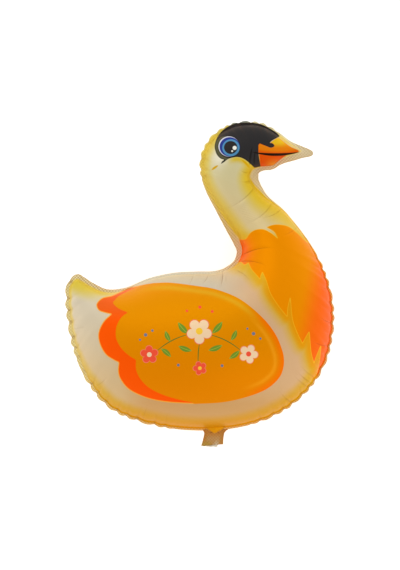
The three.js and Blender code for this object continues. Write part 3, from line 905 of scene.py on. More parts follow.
# Painted light: how much lighter the print is made on the rim and along the weld
RIM_PAINTED_LIGHT = 0.17
WELD_PAINTED_LIGHT = 0.08
WELD_HIGHLIGHT_REACH = 2.0
across_rim = np.concatenate([RIM_SHARES[::-1], 0 * across, RIM_SHARES]) * np.ones(flat.shape[:-1])
print_covers = along_rim(PRINT_COVERS, beside)[..., 0]
on_rim = ease((across_rim - print_covers) / 0.16)
rim_tint = along_rim([(place, *tint) for place, tint in RIM_TINTS], beside)
# Painted light on the shaded rim, and a painted highlight along the weld
painted_rim_light = 1 + RIM_PAINTED_LIGHT * ease(across_rim / 0.2)
painted_rim_light += WELD_PAINTED_LIGHT * np.exp(-((from_weld / WELD_HIGHLIGHT_REACH) ** 2))
ground = ground * painted_rim_light[..., None]
ground = ground * (1 - on_rim[..., None]) + rim_tint * on_rim[..., None]
seal_shows = along_rim(SEAL_SHOWS, beside)[..., 0]
print(f"rim: {(on_rim > 0.5).sum()} points of bare film")

# %% Paint shade in the notches between the lobes, and darken the cut edge


def notches(place):
    """Painted shade of the folds: 1 in the sharp notch between two lobes and 0 on the lobes."""
    depth = np.minimum(pucker_depth(place) / 4, 1)
    return depth * np.exp(-((np.sin(np.pi * lobes_before(place)) / 0.3) ** 2))


# Painted shade of the folds: across the rim in each notch, and fading inwards on the film
NOTCH_REACH = 13.0
notch_line = np.concatenate([
    notches(places)[:, None] * np.ones(RIM_COLUMNS),
    carried_in(notches(places)[:, None], notches(-places)[:, None], NOTCH_REACH),
    notches(-places)[:, None] * np.ones(RIM_COLUMNS),
], axis=1)
EDGE_BROWN = (184, 146, 86)
ground = blend(ground, EDGE_BROWN, 0.35 * seal_shows * ease((across_rim - 0.75) / 0.25))
# Painted shade in the notches on the bare rim
FOLD_SHADE_BROWN = (150, 104, 50)
ground = blend(ground, FOLD_SHADE_BROWN, 0.28 * notch_line * on_rim)
print(f"notches: {(notch_line > 0.5).sum()} points")

# %% [markdown]
# ## The inks of breast, wing and bill
#
# Inside their sharp outlines these fields are gradients too: the breast turns from orange to coral
# towards its front, the wing has a light band under its upper edge, and the bill is yellow on top and
# red along the mouth.

# %% Mix the inks
ORANGE = (234, 139, 0)
RED_ORANGE = (242, 102, 12)
CORAL = (240, 98, 50)
NECK_CORAL = (246, 76, 12)
WING_RED = (232, 94, 28)
WING_RED_LOW = (251, 86, 4)
WING_ORANGE = (224, 140, 0)
WING_ORANGE_LOW = (227, 129, 0)
WING_LIGHT = (220, 162, 30)
BILL_YELLOW = (226, 188, 34)
BILL_ORANGE = (228, 126, 16)
BILL_RED = (218, 78, 8)
BILL_PALE = (220, 150, 34)


def full(tint):
    """One tint for every point of the film."""
    return np.broadcast_to(np.array(tint, float), flat.shape[:-1] + (3,))


breast_ink = blend(full(ORANGE), RED_ORANGE, ease((x - 30 - 0.2 * (y - 33)) / 8))
breast_ink = blend(breast_ink, CORAL, 0.8 * ease((x - 38) / 5))
neck_corner = np.exp(-(((x - 11.8) / 3.9) ** 2) - ((y - 58.2) / 4.4) ** 2)
breast_ink = blend(breast_ink, NECK_CORAL, 0.95 * neck_corner)
wing_ink = blend(full(WING_ORANGE), WING_ORANGE_LOW, ease((42 - y) / 30) * 0.9)
from_edge = ink_distance["wing_over"]
band = np.exp(-(((from_edge - 12) / 6) ** 2))
wing_ink = blend(wing_ink, WING_LIGHT, 0.9 * band * ease((y - 33) / 8) * ease((x + 24) / 14))
WING_SIDE_RED = (246, 112, 2)
WING_SIDE_LIGHT = (240, 154, 26)
side = ease((x - 12) / 9)
wing_ink = blend(wing_ink, WING_SIDE_RED, 0.85 * ease(1 - from_edge / 20) * side * ease((42 - y) / 8))
side_band = np.exp(-(((from_edge - 21) / 4.5) ** 2))
wing_ink = blend(wing_ink, WING_SIDE_LIGHT, 0.75 * side_band * side * ease((40 - y) / 8))
under_ink = blend(full(WING_RED), WING_RED_LOW, ease((41 - y) / 7))
mouth = 90.3 - 0.76 * (1 - ((x - 25.2) / 7) ** 2)
above = y - mouth
bill_ink = blend(full(BILL_ORANGE), BILL_RED, ease(1 - above / 1.5) * 0.85)
bill_top = ease((above - 1.7) / 2.2) * ease((x - 20.5) / 3) * ease((30 - x) / 4)
bill_ink = blend(bill_ink, BILL_YELLOW, 0.9 * bill_top)
below = -above
lower_ink = blend(full(BILL_RED), BILL_PALE, ease((below - 0.6) / 3.6) * ease((x - 19.6) / 4.5))
bill_ink = np.where((above < 0)[..., None], lower_ink, bill_ink)
field = np.stack([ink_distance["breast"], ink_distance["wing_over"], ink_distance["bill_above"],
                  ink_distance["bill_below"]])
nearest_field = field.argmax(axis=0)
inks = np.stack([breast_ink, wing_ink, bill_ink, bill_ink])
ink = np.take_along_axis(inks, nearest_field[None, ..., None], axis=0)[0]
# The inks get the same painted light on the rim and along the weld
ink = ink * painted_rim_light[..., None]
print("inks mixed:", [int((nearest_field == number).sum()) for number in range(4)])

# %% [markdown]
# ## The two films as meshes
#
# Each film is one grid: the rim of the upper edge, the chamber and the rim of the lower edge. At the tips
# of tail and bill all ribs shrink to nothing, so their points are joined into one and the rims of both
# edges run into each other without a seam.

# %% Join the grid


def shared_corners():
    """Number of the point at each place of the grid, where the ends of the grid share theirs."""
    rows, columns = whole_plan.shape[:2]
    number = np.arange(rows * columns).reshape(rows, columns)
    for row in (0, -1):
        number[row, chamber] = number[row, chamber.start]
        number[row, chamber.stop :] = number[row, : chamber.start][::-1]
    return number


def triangles_of(number, turned):
    """Two triangles for each cell of a grid of corner numbers, without those that have shrunk to a line."""
    a, b, c, d = number[:-1, :-1], number[1:, :-1], number[1:, 1:], number[:-1, 1:]
    pairs = [(a, d, c), (a, c, b)] if turned else [(a, c, d), (a, b, c)]
    faces = np.concatenate([np.stack(pair, axis=-1).reshape(-1, 3) for pair in pairs])
    apart = (faces[:, 0] != faces[:, 1]) & (faces[:, 1] != faces[:, 2]) & (faces[:, 2] != faces[:, 0])
    return faces[apart]


# %% Turn points and triangles into a piece


def linear(tint):
    """Scene-linear value of a screen colour from 0 to 255."""
    share = np.asarray(tint, float) / 255
    return np.where(share <= 0.04045, share / 12.92, ((share + 0.055) / 1.055) ** 2.4)


def colour(*tint):
    """A screen colour as the four numbers that a socket takes."""
    return (*linear(tint).tolist(), 1.0)


def make_mesh(name, points, faces, numbers=(), tints=(), places=()):
    """A smooth mesh of the points that its triangles use, with one value, colour or vector per point."""
    used, faces = np.unique(faces, return_inverse=True)
    faces = faces.reshape(-1, 3)
    mesh = bpy.data.meshes.new(name)
    mesh.from_pydata(points.reshape(-1, 3)[used].tolist(), [], faces.tolist())
    for title, values in dict(numbers).items():
        mesh.attributes.new(title, "FLOAT", "POINT").data.foreach_set(
            "value", values.reshape(-1)[used].astype(np.float32)
        )
    for title, values in dict(tints).items():
        opaque = np.ones((len(used), 4), np.float32)
        opaque[:, :3] = linear(np.clip(values, 0, 255)).reshape(-1, 3)[used]
        mesh.attributes.new(title, "FLOAT_COLOR", "POINT").data.foreach_set("color", opaque.ravel())
    for title, values in dict(places).items():
        vector = np.zeros((len(used), 3), np.float32)
        vector[:, :2] = values.reshape(-1, 2)[used]
        mesh.attributes.new(title, "FLOAT_VECTOR", "POINT").data.foreach_set("vector", vector.ravel())
    mesh.shade_smooth()
    piece = bpy.data.objects.new(name, mesh)
    bpy.context.scene.collection.objects.link(piece)
    print(f"{name}: {len(used)} points, {len(faces)} triangles")
    return piece


# %% Make the two films
shared = shared_corners()
on_film = {name: np.clip(distance, -FAR, FAR) for name, distance in ink_distance.items()}
# Painted shade of the folds in the notches, for the material
on_film["notch"] = notch_line
on_film["welded"] = seal_shows * ease(across_rim / 0.3)
# The breast's ink ends where the print on the rim ends
RIM_WIDTH = 9.0
to_cover = np.where(from_weld > 0, FAR, (print_covers - across_rim) * RIM_WIDTH + 0.3)
on_film["breast"] = np.minimum(on_film["breast"], to_cover)
film_tints = {"ground": ground, "ink": ink, "under_ink": under_ink}
film_pieces = {}
films = (("front_film", front, FRONT_CREASES, True), ("back_film", back, BACK_CREASES, False))
for name, film, creases, turned in films:
    aside, strength = nearest_crease(whole_plan, creases)
    # Where the painted shade of the creases lies on this film
    on_film["crease_aside"], on_film["crease_strength"] = aside, strength * (from_weld > 0)
    film_pieces[name] = make_mesh(
        name, placed(film), triangles_of(shared, turned), on_film, film_tints, {"print_place": flat * MM}
    )
    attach(film_pieces[name], "root")
    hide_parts("foil_envelope")

# %% [markdown]
# ## The filling tail
#
# The two films run out in a short flat tube under the belly. Its sides are welded, its mouth is open, and
# where it leaves the chamber the film is still a little swollen, like a funnel. It is one closed surface:
# round the outside from root to mouth, over the lip, and back down inside between the two films.

# %% Shape the tail's outline
TAIL_AT = 39.87
TAIL_FILM = 0.85
FUNNEL_HEIGHT = 9.0
tail_root = cut_edge(np.array([TAIL_AT]), np.array([0.0]))[0]


def tail_half_width(y):
    """Straight sides, with a fillet at the root and a flare at the mouth, both grown with the square."""
    fillet = TAIL_ROOT_FILLET * np.clip((y + TAIL_ROOT_FILLET) / 12, 0, 1) ** 2
    flare = TAIL_FLARE * np.clip((-y - 9) / (TAIL_LENGTH - 9), 0, 1) ** 2
    inside = 14 * ease((y - 3) / 10)
    return TAIL_HALF_WIDTH + fillet + flare - inside


def funnel(x, y):
    """Height of the swollen part: a rounded bump across, narrower and lower towards the mouth."""
    half = 8.5 + 15.5 * ease((y + 6) / 14)
    return FUNNEL_HEIGHT * ease((y + 9) / 18) * np.maximum(1 - (x / half) ** 2, 0) ** 1.5


def tail_sheet(u, y):
    """Middle height and half thickness of the tail at a share of its half width and a distance along it.
    Crinkles grow towards the mouth, and the films part there between the welded sides."""
    x = u * tail_half_width(y)
    near_mouth = ease((-y - 14) / 22)
    middle = 0.7 * near_mouth * np.sin(x / 4.1 + 0.9) + 0.25 * np.sin(x / 2.3 - y / 5) * near_mouth
    thick = TAIL_FILM * np.sqrt(np.maximum(1 - u**8, 0)) * (1 - 0.8 * ease((y - 1) / 5))
    parted = np.maximum(1 - (u / 0.55) ** 2, 0) * (0.5 + 1.3 * ease((-y - 24) / 12))
    return middle, thick + parted * (y < 2) * ease((2 - y) / 8)


print("tail root at", tail_root.round(1).tolist(), "mm")

# %% Loft it from the root over the lip and back inside


def flat_section(half_round):
    """Shares of the half width, once round a flat tube, and the side: 1 on top and -1 below."""
    steps = np.arange(2 * half_round + 1)
    return -np.cos(np.pi * steps / half_round)[None], np.where(steps <= half_round, 1.0, -1.0)[None]


def along_tail(x, y, z):
    """Points across, along and over the tail, put on the plan with the tail's lean."""
    return np.dstack([tail_root[0] + x + y * TAIL_LEAN / TAIL_LENGTH, tail_root[1] + y, z])


HALF_ROUND = 48
OUTSIDE_ROWS = 70
INSIDE_ROWS = 24
LIP = 0.18
u, upper_side = flat_section(HALF_ROUND)
down = np.concatenate([np.linspace(0, 1, OUTSIDE_ROWS), np.linspace(1, 0.62, INSIDE_ROWS)])[:, None]
inner = np.concatenate([np.zeros(OUTSIDE_ROWS), np.ones(INSIDE_ROWS)])[:, None]
mouth_y = -TAIL_LENGTH + TAIL_END_SLANT * (u + 1) / 2 + 0.7 * np.sin(5 * u + 1) + 0.4 * np.sin(11 * u)
tail_y = 13 + (mouth_y - 13) * down
tail_u = u * (1 - 0.42 * inner * ease((1 - down) / 0.06))
middle, thick = tail_sheet(tail_u, tail_y)
tail_x = tail_u * tail_half_width(tail_y)
inside_share = inner * ease((1 - down) / 0.05)
ends_shut = ease(down / 0.04) * (1 - inner * ease((0.72 - down) / 0.1))
tail_z = middle + upper_side * np.maximum(thick - LIP * inside_share, 0.02) * ends_shut
tail_z += upper_side * funnel(tail_x, tail_y) * ease(down / 0.1) * (1 - inner)
tail_points = along_tail(tail_x, tail_y, tail_z)
print("tail:", tail_points.shape[:2], "mouth at", (tail_root[1] + tail_y.min()).round(1), "mm")

# %% Colour it and make the piece
TAIL_TOP = (214, 146, 70)
TAIL_MIDDLE = (212, 168, 108)
TAIL_SIDE = (204, 138, 58)
TAIL_OLIVE = (196, 162, 72)
TAIL_MILKY = (226, 210, 178)
FUNNEL_OCHRE = (224, 150, 14)
VALVE_MARK_BROWN = (96, 52, 18)
VALVE_MARKS = np.array([(3.51, -0.62), (5.84, -0.70)]) * FIGURE_HEIGHT / 100


def tail_colour(points, x, y, swollen):
    """Orange by the root, paler in the middle, olive by the left corner and milky where the valve is."""
    tail = blend(np.broadcast_to(np.array(TAIL_TOP, float), x.shape + (3,)), TAIL_MIDDLE, ease((-y - 6) / 14))
    tail = blend(tail, TAIL_SIDE, 0.75 * ease((np.abs(x) - 12) / 8))
    tail = blend(tail, TAIL_OLIVE, ease((-y - 22) / 12) * ease((4 - x) / 14))
    tail = blend(tail, TAIL_MILKY, 0.85 * ease((-y - 20) / 12) * np.exp(-(((x - 9) / 6) ** 2)))
    tail = blend(tail, FUNNEL_OCHRE, ease(swollen / 1.2))
    for mark, dark in zip(VALVE_MARKS, (0.8, 0.45)):
        off = (points[..., :2] - mark) / [2.4, 1.3]
        tail = blend(tail, VALVE_MARK_BROWN, dark * np.exp(-(off**2).sum(-1)))
    return tail


def zipped_ends(rows, columns, ends):
    """Corner numbers of a tube whose last column is its first, and whose ends are shut along a line."""
    number = np.arange(rows * columns).reshape(rows, columns)
    number[:, -1] = number[:, 0]
    for row in ends:
        number[row] = np.minimum(number[row], number[row][::-1])
    return number


swollen = funnel(tail_x, tail_y) * (1 - inner)
tail_number = zipped_ends(*tail_points.shape[:2], (0, -1))
filling_tail = make_mesh(
    "filling_tail", placed(tail_points), triangles_of(tail_number, True),
    {"welded": 1 - ease(swollen / 1.5)},
    {"ground": tail_colour(tail_points, tail_x, tail_y, swollen)},
    {"print_place": tail_points[..., :2] * MM},
)
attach(filling_tail, "root")
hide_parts("foil_envelope")

# %% [markdown]
# ## The valve
#
# Inside the tail lies the self-closing valve, a flat sleeve of thin milky film that lets gas in and not
# out. A few millimetres of it look out of the mouth, so it is a thin strip with soft crinkles.

# %% Make the valve's sleeve
VALVE_FILM = 0.2
VALVE_ROWS = 60
VALVE_HALF_ROUND = 28
valve_u, valve_side = flat_section(VALVE_HALF_ROUND)
valve_end = -TAIL_LENGTH - VALVE_SHOWS
valve_along = np.linspace(0, 1, VALVE_ROWS)[:, None]
ragged = 0.35 * np.sin(7 * valve_u) + 0.2 * np.sin(17 * valve_u + 1)
valve_y = valve_end + VALVE_LENGTH * valve_along + (ragged + 0.5) * (1 - valve_along) ** 6
valve_x = valve_u * VALVE_WIDTH / 2 + 0 * valve_y
shut = ease(valve_along / 0.02) * ease((1 - valve_along) / 0.02)
valve_z = 0.35 * np.sin(valve_x / 3.1 + 0.4) * ease((-valve_y - 24) / 12)
valve_z = valve_z + valve_side * VALVE_FILM * np.sqrt(np.maximum(1 - valve_u**6, 0)) * shut
valve_points = along_tail(valve_x, valve_y, valve_z)
valve_number = zipped_ends(*valve_points.shape[:2], (0, -1))
valve_sleeve = make_mesh("valve_sleeve", placed(valve_points), triangles_of(valve_number, False))
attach(valve_sleeve, "root")
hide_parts("valve_film")

# %% [markdown]
# ## Tools for the materials
#
# The effects that several inks or films share are node groups: the edge of an ink, a disc, a leaf, a
# blossom, the knurl that the sealing bar presses into the weld, and the film's own fine wrinkles. Each
# takes its place and sizes as named inputs, so a change of the pattern is a change of a number.

# %% Tools that place single nodes


def connect(tree, value, socket):
    """Feeds a socket from another socket or sets its value."""
    if isinstance(value, bpy.types.NodeSocket):
        tree.links.new(value, socket)
    else:
        socket.default_value = value


def calc(tree, operation, *values):
    """A sum of the given kind, as a Math node."""
    node = tree.nodes.new("ShaderNodeMath")
    node.operation = operation
    for socket, value in zip(node.inputs, values):
        connect(tree, value, socket)
    return node.outputs[0]


def step_between(tree, value, low, high):
    """0 below low, 1 above high, and a smooth step between."""
    node = tree.nodes.new("ShaderNodeMapRange")
    node.interpolation_type = "SMOOTHSTEP"
    connect(tree, value, node.inputs["Value"])
    connect(tree, low, node.inputs["From Min"])
    connect(tree, high, node.inputs["From Max"])
    return node.outputs["Result"]


def lay_over(tree, under, over, share):
    """One colour laid over another by a share."""
    node = tree.nodes.new("ShaderNodeMix")
    node.data_type = "RGBA"
    connect(tree, share, node.inputs[0])
    connect(tree, under, node.inputs[6])
    connect(tree, over, node.inputs[7])
    return node.outputs[2]


# %% Tools that make and place node groups


def new_group(title, inputs, outputs):
    """An empty node group with its named sockets. Returns its tree, its inputs and its output node."""
    tree = bpy.data.node_groups.new(title, "ShaderNodeTree")
    kinds = {"number": "NodeSocketFloat", "vector": "NodeSocketVector", "colour": "NodeSocketColor"}
    for in_out, sockets in (("INPUT", inputs), ("OUTPUT", outputs)):
        for name, kind in sockets.items():
            tree.interface.new_socket(name, in_out=in_out, socket_type=kinds[kind])
    return tree, tree.nodes.new("NodeGroupInput").outputs, tree.nodes.new("NodeGroupOutput").inputs


def use_group(tree, group, **values):
    """Places a group in a tree. An input's name has underscores for its blanks."""
    node = tree.nodes.new("ShaderNodeGroup")
    node.node_tree = group
    for name, value in values.items():
        connect(tree, value, node.inputs[name.replace("_", " ")])
    return node.outputs


def parts_of(tree, vector):
    """The x, y and z of a vector, as three sockets."""
    node = tree.nodes.new("ShaderNodeSeparateXYZ")
    connect(tree, vector, node.inputs[0])
    return node.outputs


def away_from(tree, place, centre):
    """Vector from a centre to a place."""
    node = tree.nodes.new("ShaderNodeVectorMath")
    node.operation = "SUBTRACT"
    connect(tree, place, node.inputs[0])
    connect(tree, centre, node.inputs[1])
    return node.outputs[0]


# %% The edge of an ink, and an ink with a border
tree, given, result = new_group(
    "Ink edge", {"Distance": "number", "Softness": "number"}, {"Mask": "number"}
)
half = calc(tree, "MULTIPLY", given["Softness"], 0.5)
mask = step_between(tree, given["Distance"], calc(tree, "MULTIPLY", half, -1.0), half)
connect(tree, mask, result["Mask"])
ink_edge = tree

tree, given, result = new_group(
    "Printed ink",
    {"Under": "colour", "Ink": "colour", "Border": "colour", "Distance": "number", "Border Width": "number"},
    {"Color": "colour"},
)
EDGE_SOFTNESS = 0.9
edge = use_group(tree, ink_edge, Distance=given["Distance"], Softness=EDGE_SOFTNESS)["Mask"]
past_border = calc(tree, "SUBTRACT", given["Distance"], given["Border Width"])
fill = use_group(tree, ink_edge, Distance=past_border, Softness=EDGE_SOFTNESS)["Mask"]
bordered = lay_over(tree, given["Under"], given["Border"], edge)
connect(tree, lay_over(tree, bordered, given["Ink"], fill), result["Color"])
printed_ink = tree
print("groups:", ink_edge.name, "and", printed_ink.name)


# %% Two helpers for the stamps


def root_of_squares(tree, one, other):
    """Square root of the sum of two squares."""
    return calc(
        tree, "SQRT", calc(tree, "ADD", calc(tree, "POWER", one, 2.0), calc(tree, "POWER", other, 2.0))
    )


def stamp_mask(tree, room, softness):
    """Mask of the places with room to spare. The room is in metres, and the softness in millimetres."""
    room = calc(tree, "MULTIPLY", room, 1 / MM)
    return use_group(tree, ink_edge, Distance=room, Softness=softness)["Mask"]


# %% A disc: everything nearer to a centre than its radius
tree, given, result = new_group(
    "Disc",
    {"Place": "vector", "Centre": "vector", "Radius": "number", "Squash": "number"},
    {"Mask": "number"},
)
x_off, y_off, _ = parts_of(tree, away_from(tree, given["Place"], given["Centre"]))
radius = root_of_squares(tree, x_off, calc(tree, "MULTIPLY", y_off, given["Squash"]))
inward = calc(tree, "SUBTRACT", given["Radius"], radius)
connect(tree, stamp_mask(tree, inward, 1.0), result["Mask"])
disc = tree
print("group:", disc.name)

# %% A leaf or a stem: two bowed lines that meet at both ends
tree, given, result = new_group(
    "Leaf",
    {"Place": "vector", "Centre": "vector", "Turn": "number", "Half Length": "number",
     "Half Width": "number", "Bow": "number"},
    {"Mask": "number", "Vein": "number"},
)
x_off, y_off, _ = parts_of(tree, away_from(tree, given["Place"], given["Centre"]))
cosine, sine = calc(tree, "COSINE", given["Turn"]), calc(tree, "SINE", given["Turn"])
along = calc(tree, "ADD", calc(tree, "MULTIPLY", x_off, cosine), calc(tree, "MULTIPLY", y_off, sine))
aside = calc(tree, "SUBTRACT", calc(tree, "MULTIPLY", y_off, cosine), calc(tree, "MULTIPLY", x_off, sine))
share = calc(tree, "DIVIDE", along, given["Half Length"])
arch = calc(tree, "SUBTRACT", 1.0, calc(tree, "MULTIPLY", share, share))
aside = calc(tree, "ABSOLUTE", calc(tree, "SUBTRACT", aside, calc(tree, "MULTIPLY", arch, given["Bow"])))
room = calc(tree, "SUBTRACT", calc(tree, "MULTIPLY", arch, given["Half Width"]), aside)
leaf_mask = stamp_mask(tree, room, EDGE_SOFTNESS)
connect(tree, leaf_mask, result["Mask"])
vein = step_between(tree, aside, 0.9 * MM, 0.2 * MM)
connect(tree, calc(tree, "MULTIPLY", vein, leaf_mask), result["Vein"])
leaf = tree
print("group:", leaf.name)

# %% A blossom: a radius that swells and shrinks with the angle, once for each petal
tree, given, result = new_group(
    "Blossom",
    {"Place": "vector", "Centre": "vector", "Radius": "number", "Turn": "number"},
    {"Petals": "number", "Rim": "number", "Heart": "number"},
)
PETALS = 5
HEART_SHARE = 0.26
x_off, y_off, _ = parts_of(tree, away_from(tree, given["Place"], given["Centre"]))
radius = root_of_squares(tree, x_off, y_off)
angle = calc(tree, "ADD", calc(tree, "ARCTAN2", y_off, x_off), given["Turn"])
swing = calc(tree, "ABSOLUTE", calc(tree, "COSINE", calc(tree, "MULTIPLY", angle, PETALS / 2)))
reach = calc(tree, "ADD", calc(tree, "MULTIPLY", calc(tree, "POWER", swing, 0.6), 0.42), 0.58)
inward = calc(tree, "SUBTRACT", calc(tree, "MULTIPLY", reach, given["Radius"]), radius)
petals = stamp_mask(tree, inward, EDGE_SOFTNESS)
connect(tree, petals, result["Petals"])
rim = step_between(tree, inward, 1.9 * MM, 1.0 * MM)
connect(tree, calc(tree, "MULTIPLY", petals, rim), result["Rim"])
heart_room = calc(tree, "SUBTRACT", calc(tree, "MULTIPLY", given["Radius"], HEART_SHARE), radius)
connect(tree, stamp_mask(tree, heart_room, EDGE_SOFTNESS), result["Heart"])
blossom = tree
print("group:", blossom.name)

# %% The knurl of the sealing bar: two crossed rows of waves on the diagonals
tree, given, result = new_group(
    "Heat-seal knurl", {"Place": "vector", "Pitch": "number"}, {"Height": "number"}
)
x_part, y_part, _ = parts_of(tree, given["Place"])
rate = calc(tree, "DIVIDE", math.tau, given["Pitch"])
rising = calc(tree, "SINE", calc(tree, "MULTIPLY", calc(tree, "ADD", x_part, y_part), rate))
falling = calc(tree, "SINE", calc(tree, "MULTIPLY", calc(tree, "SUBTRACT", x_part, y_part), rate))
crossed = calc(tree, "MULTIPLY", calc(tree, "ADD", rising, falling), 0.25)
connect(tree, step_between(tree, crossed, -0.2, 0.25), result["Height"])
knurl = tree
print("group:", knurl.name)

# %% The film's fine wrinkles, and how they change its lustre
tree, given, result = new_group(
    "Film wrinkles", {"Place": "vector", "Scale": "number"}, {"Height": "number", "Lustre": "number"}
)
soft_noise = tree.nodes.new("ShaderNodeTexNoise")
soft_noise.inputs["Detail"].default_value = 3.0
soft_noise.inputs["Distortion"].default_value = 0.6
connect(tree, given["Place"], soft_noise.inputs["Vector"])
connect(tree, given["Scale"], soft_noise.inputs["Scale"])
fine_noise = tree.nodes.new("ShaderNodeTexNoise")
fine_noise.inputs["Detail"].default_value = 2.0
connect(tree, given["Place"], fine_noise.inputs["Vector"])
connect(tree, calc(tree, "MULTIPLY", given["Scale"], 6.0), fine_noise.inputs["Scale"])
ridged = calc(tree, "ABSOLUTE", calc(tree, "SUBTRACT", soft_noise.outputs[0], 0.5))
folded = calc(tree, "MULTIPLY", calc(tree, "SUBTRACT", 0.12, calc(tree, "MINIMUM", ridged, 0.12)), 3.0)
grain = calc(tree, "MULTIPLY", fine_noise.outputs[0], 0.25)
connect(tree, calc(tree, "ADD", folded, grain), result["Height"])
connect(tree, step_between(tree, fine_noise.outputs[0], 0.3, 0.7), result["Lustre"])
wrinkles = tree
print("group:", wrinkles.name)

# %% [markdown]
# ## The printed film
#
# The film is plastic with a breath of metal behind the ink, so it shines like satin: a little metallic
# and fairly rough, with a warm lustre where it is seen aslant. The inks are laid over each other in the
# order in which a printer would lay them. The wing carries a plain spray of blossoms and leaves.

# %% Stamps of the face
HUNDREDTH = FIGURE_HEIGHT / 100 * MM


def at(x, y):
    """A place of the print, from hundredths of the figure's height to metres."""
    return (x * HUNDREDTH, y * HUNDREDTH, 0.0)


# Each row: centre and radius in hundredths of the height, squash and colour
EYE_DISCS = [
    ((9.3, 92.0), 3.6, 1.0, (36, 36, 36)),
    ((9.22, 92.1), 3.4, 1.04, (214, 214, 224)),
    ((9.46, 92.0), 3.29, 1.05, (42, 60, 138)),
    ((9.87, 91.7), 2.82, 1.03, (78, 138, 180)),
    ((9.8, 91.78), 2.18, 1.04, (42, 42, 44)),
    ((11.08, 91.64), 0.66, 1.0, (232, 232, 222)),
    ((10.27, 90.6), 0.3, 1.0, (224, 224, 214)),
]
# Each row: centre in hundredths, turn in radians, then half length, half width and bow in hundredths,
# and colour
FACE_STROKES = [
    ((4.65, 85.2), 0.62, 1.4, 0.36, 0.05, (206, 160, 26)),
    ((14.7, 86.3), -0.8, 2.3, 0.34, 0.25, (212, 166, 16)),
    ((7.35, 87.1), 0.75, 0.95, 0.24, 0.1, (28, 28, 28)),
    ((16.4, 89.0), 1.42, 3.0, 0.3, 0.2, (33, 33, 34)),
    ((17.6, 88.2), 1.5, 2.6, 0.24, 0.15, (33, 33, 34)),
    ((24.4, 90.34), 0.0, 7.9, 0.44, -0.86, (30, 20, 14)),
]
MASK_BLACK = (46, 46, 48)
MASK_OLIVE = (84, 84, 62)
print("face:", len(EYE_DISCS), "discs and", len(FACE_STROKES), "strokes")

# %% Stamps of the wing: three blossoms on arching stems
STEM_GREEN = (96, 118, 38)
LEAF_GREEN = (112, 146, 44)
LEAF_LIGHT = (166, 186, 70)
BERRY_BLUE = (112, 122, 142)
PETAL_CREAM = (240, 208, 168)
PETAL_CORAL = (240, 84, 58)
PETAL_PINK = (244, 128, 104)
HEART_YELLOW = (246, 198, 62)
# Each row: as for the strokes of the face
WING_LEAVES = [
    ((-9.0, 27.6), 0.5, 8.2, 0.16, 1.5, STEM_GREEN),
    ((7.4, 27.8), -0.46, 8.4, 0.16, 1.6, STEM_GREEN),
    ((-0.4, 25.2), 1.5, 4.4, 0.16, 0.3, STEM_GREEN),
    ((-5.6, 33.2), 2.3, 2.5, 0.95, 0.25, LEAF_GREEN),
    ((-10.6, 30.6), 2.0, 1.9, 0.75, 0.2, LEAF_GREEN),
    ((-11.2, 25.2), -0.7, 2.1, 0.8, 0.2, LEAF_GREEN),
    ((-5.0, 26.6), -0.35, 2.3, 0.85, -0.2, LEAF_GREEN),
    ((4.8, 26.8), 3.5, 2.4, 0.85, 0.2, LEAF_GREEN),
    ((10.8, 30.9), 1.1, 1.9, 0.75, -0.2, LEAF_GREEN),
    ((11.0, 24.6), 3.8, 2.1, 0.8, 0.2, LEAF_GREEN),
    ((5.4, 33.4), 0.85, 2.5, 0.95, -0.25, LEAF_GREEN),
]
# Each row: centre, radius and turn, and the colours of petals, petals' rim and heart
WING_BLOSSOMS = [
    ((-0.4, 32.2), 4.3, 0.3, PETAL_CREAM, PETAL_CORAL, HEART_YELLOW),
    ((-16.6, 24.6), 3.0, 0.9, PETAL_CORAL, PETAL_PINK, PETAL_CREAM),
    ((15.6, 24.8), 3.2, 0.1, PETAL_CREAM, PETAL_PINK, PETAL_CORAL),
    ((-0.2, 20.2), 2.3, 0.6, PETAL_CORAL, PETAL_PINK, HEART_YELLOW),
]
# Each row: centre, radius and colour
WING_BERRIES = [
    (-17.8, 31.0, 0.55, BERRY_BLUE), (-15.6, 32.4, 0.4, BERRY_BLUE), (-19.6, 29.4, 0.35, BERRY_BLUE),
    (17.2, 31.4, 0.55, BERRY_BLUE), (19.4, 29.8, 0.4, BERRY_BLUE), (15.2, 33.0, 0.35, BERRY_BLUE),
    (-7.2, 21.2, 0.45, BERRY_BLUE), (7.0, 21.0, 0.45, BERRY_BLUE),
    (-4.4, 38.8, 0.4, PETAL_CORAL), (3.8, 38.6, 0.45, PETAL_CORAL), (-0.2, 40.0, 0.5, PETAL_CORAL),
]
print("wing:", len(WING_LEAVES), "leaves and stems,", len(WING_BLOSSOMS), "blossoms")

# %% Lay the stamps over the print


def attribute(tree, name):
    """A node that reads one of the piece's own attributes."""
    node = tree.nodes.new("ShaderNodeAttribute")
    node.attribute_name = name
    return node


def stamp_leaf(tree, base, place, centre, turn, length, width, bow, tint):
    """A leaf, stem or stroke laid over the print. Returns the new colour and the leaf's vein."""
    stamp = use_group(
        tree, leaf, Place=place, Centre=at(*centre), Turn=turn, Half_Length=length * HUNDREDTH,
        Half_Width=width * HUNDREDTH, Bow=bow * HUNDREDTH,
    )
    return lay_over(tree, base, colour(*tint), stamp["Mask"]), stamp["Vein"]


def stamp_disc(tree, base, place, centre, radius, squash, tint):
    """A disc laid over the print."""
    dot = use_group(tree, disc, Place=place, Centre=at(*centre), Radius=radius * HUNDREDTH, Squash=squash)
    return lay_over(tree, base, colour(*tint), dot["Mask"])


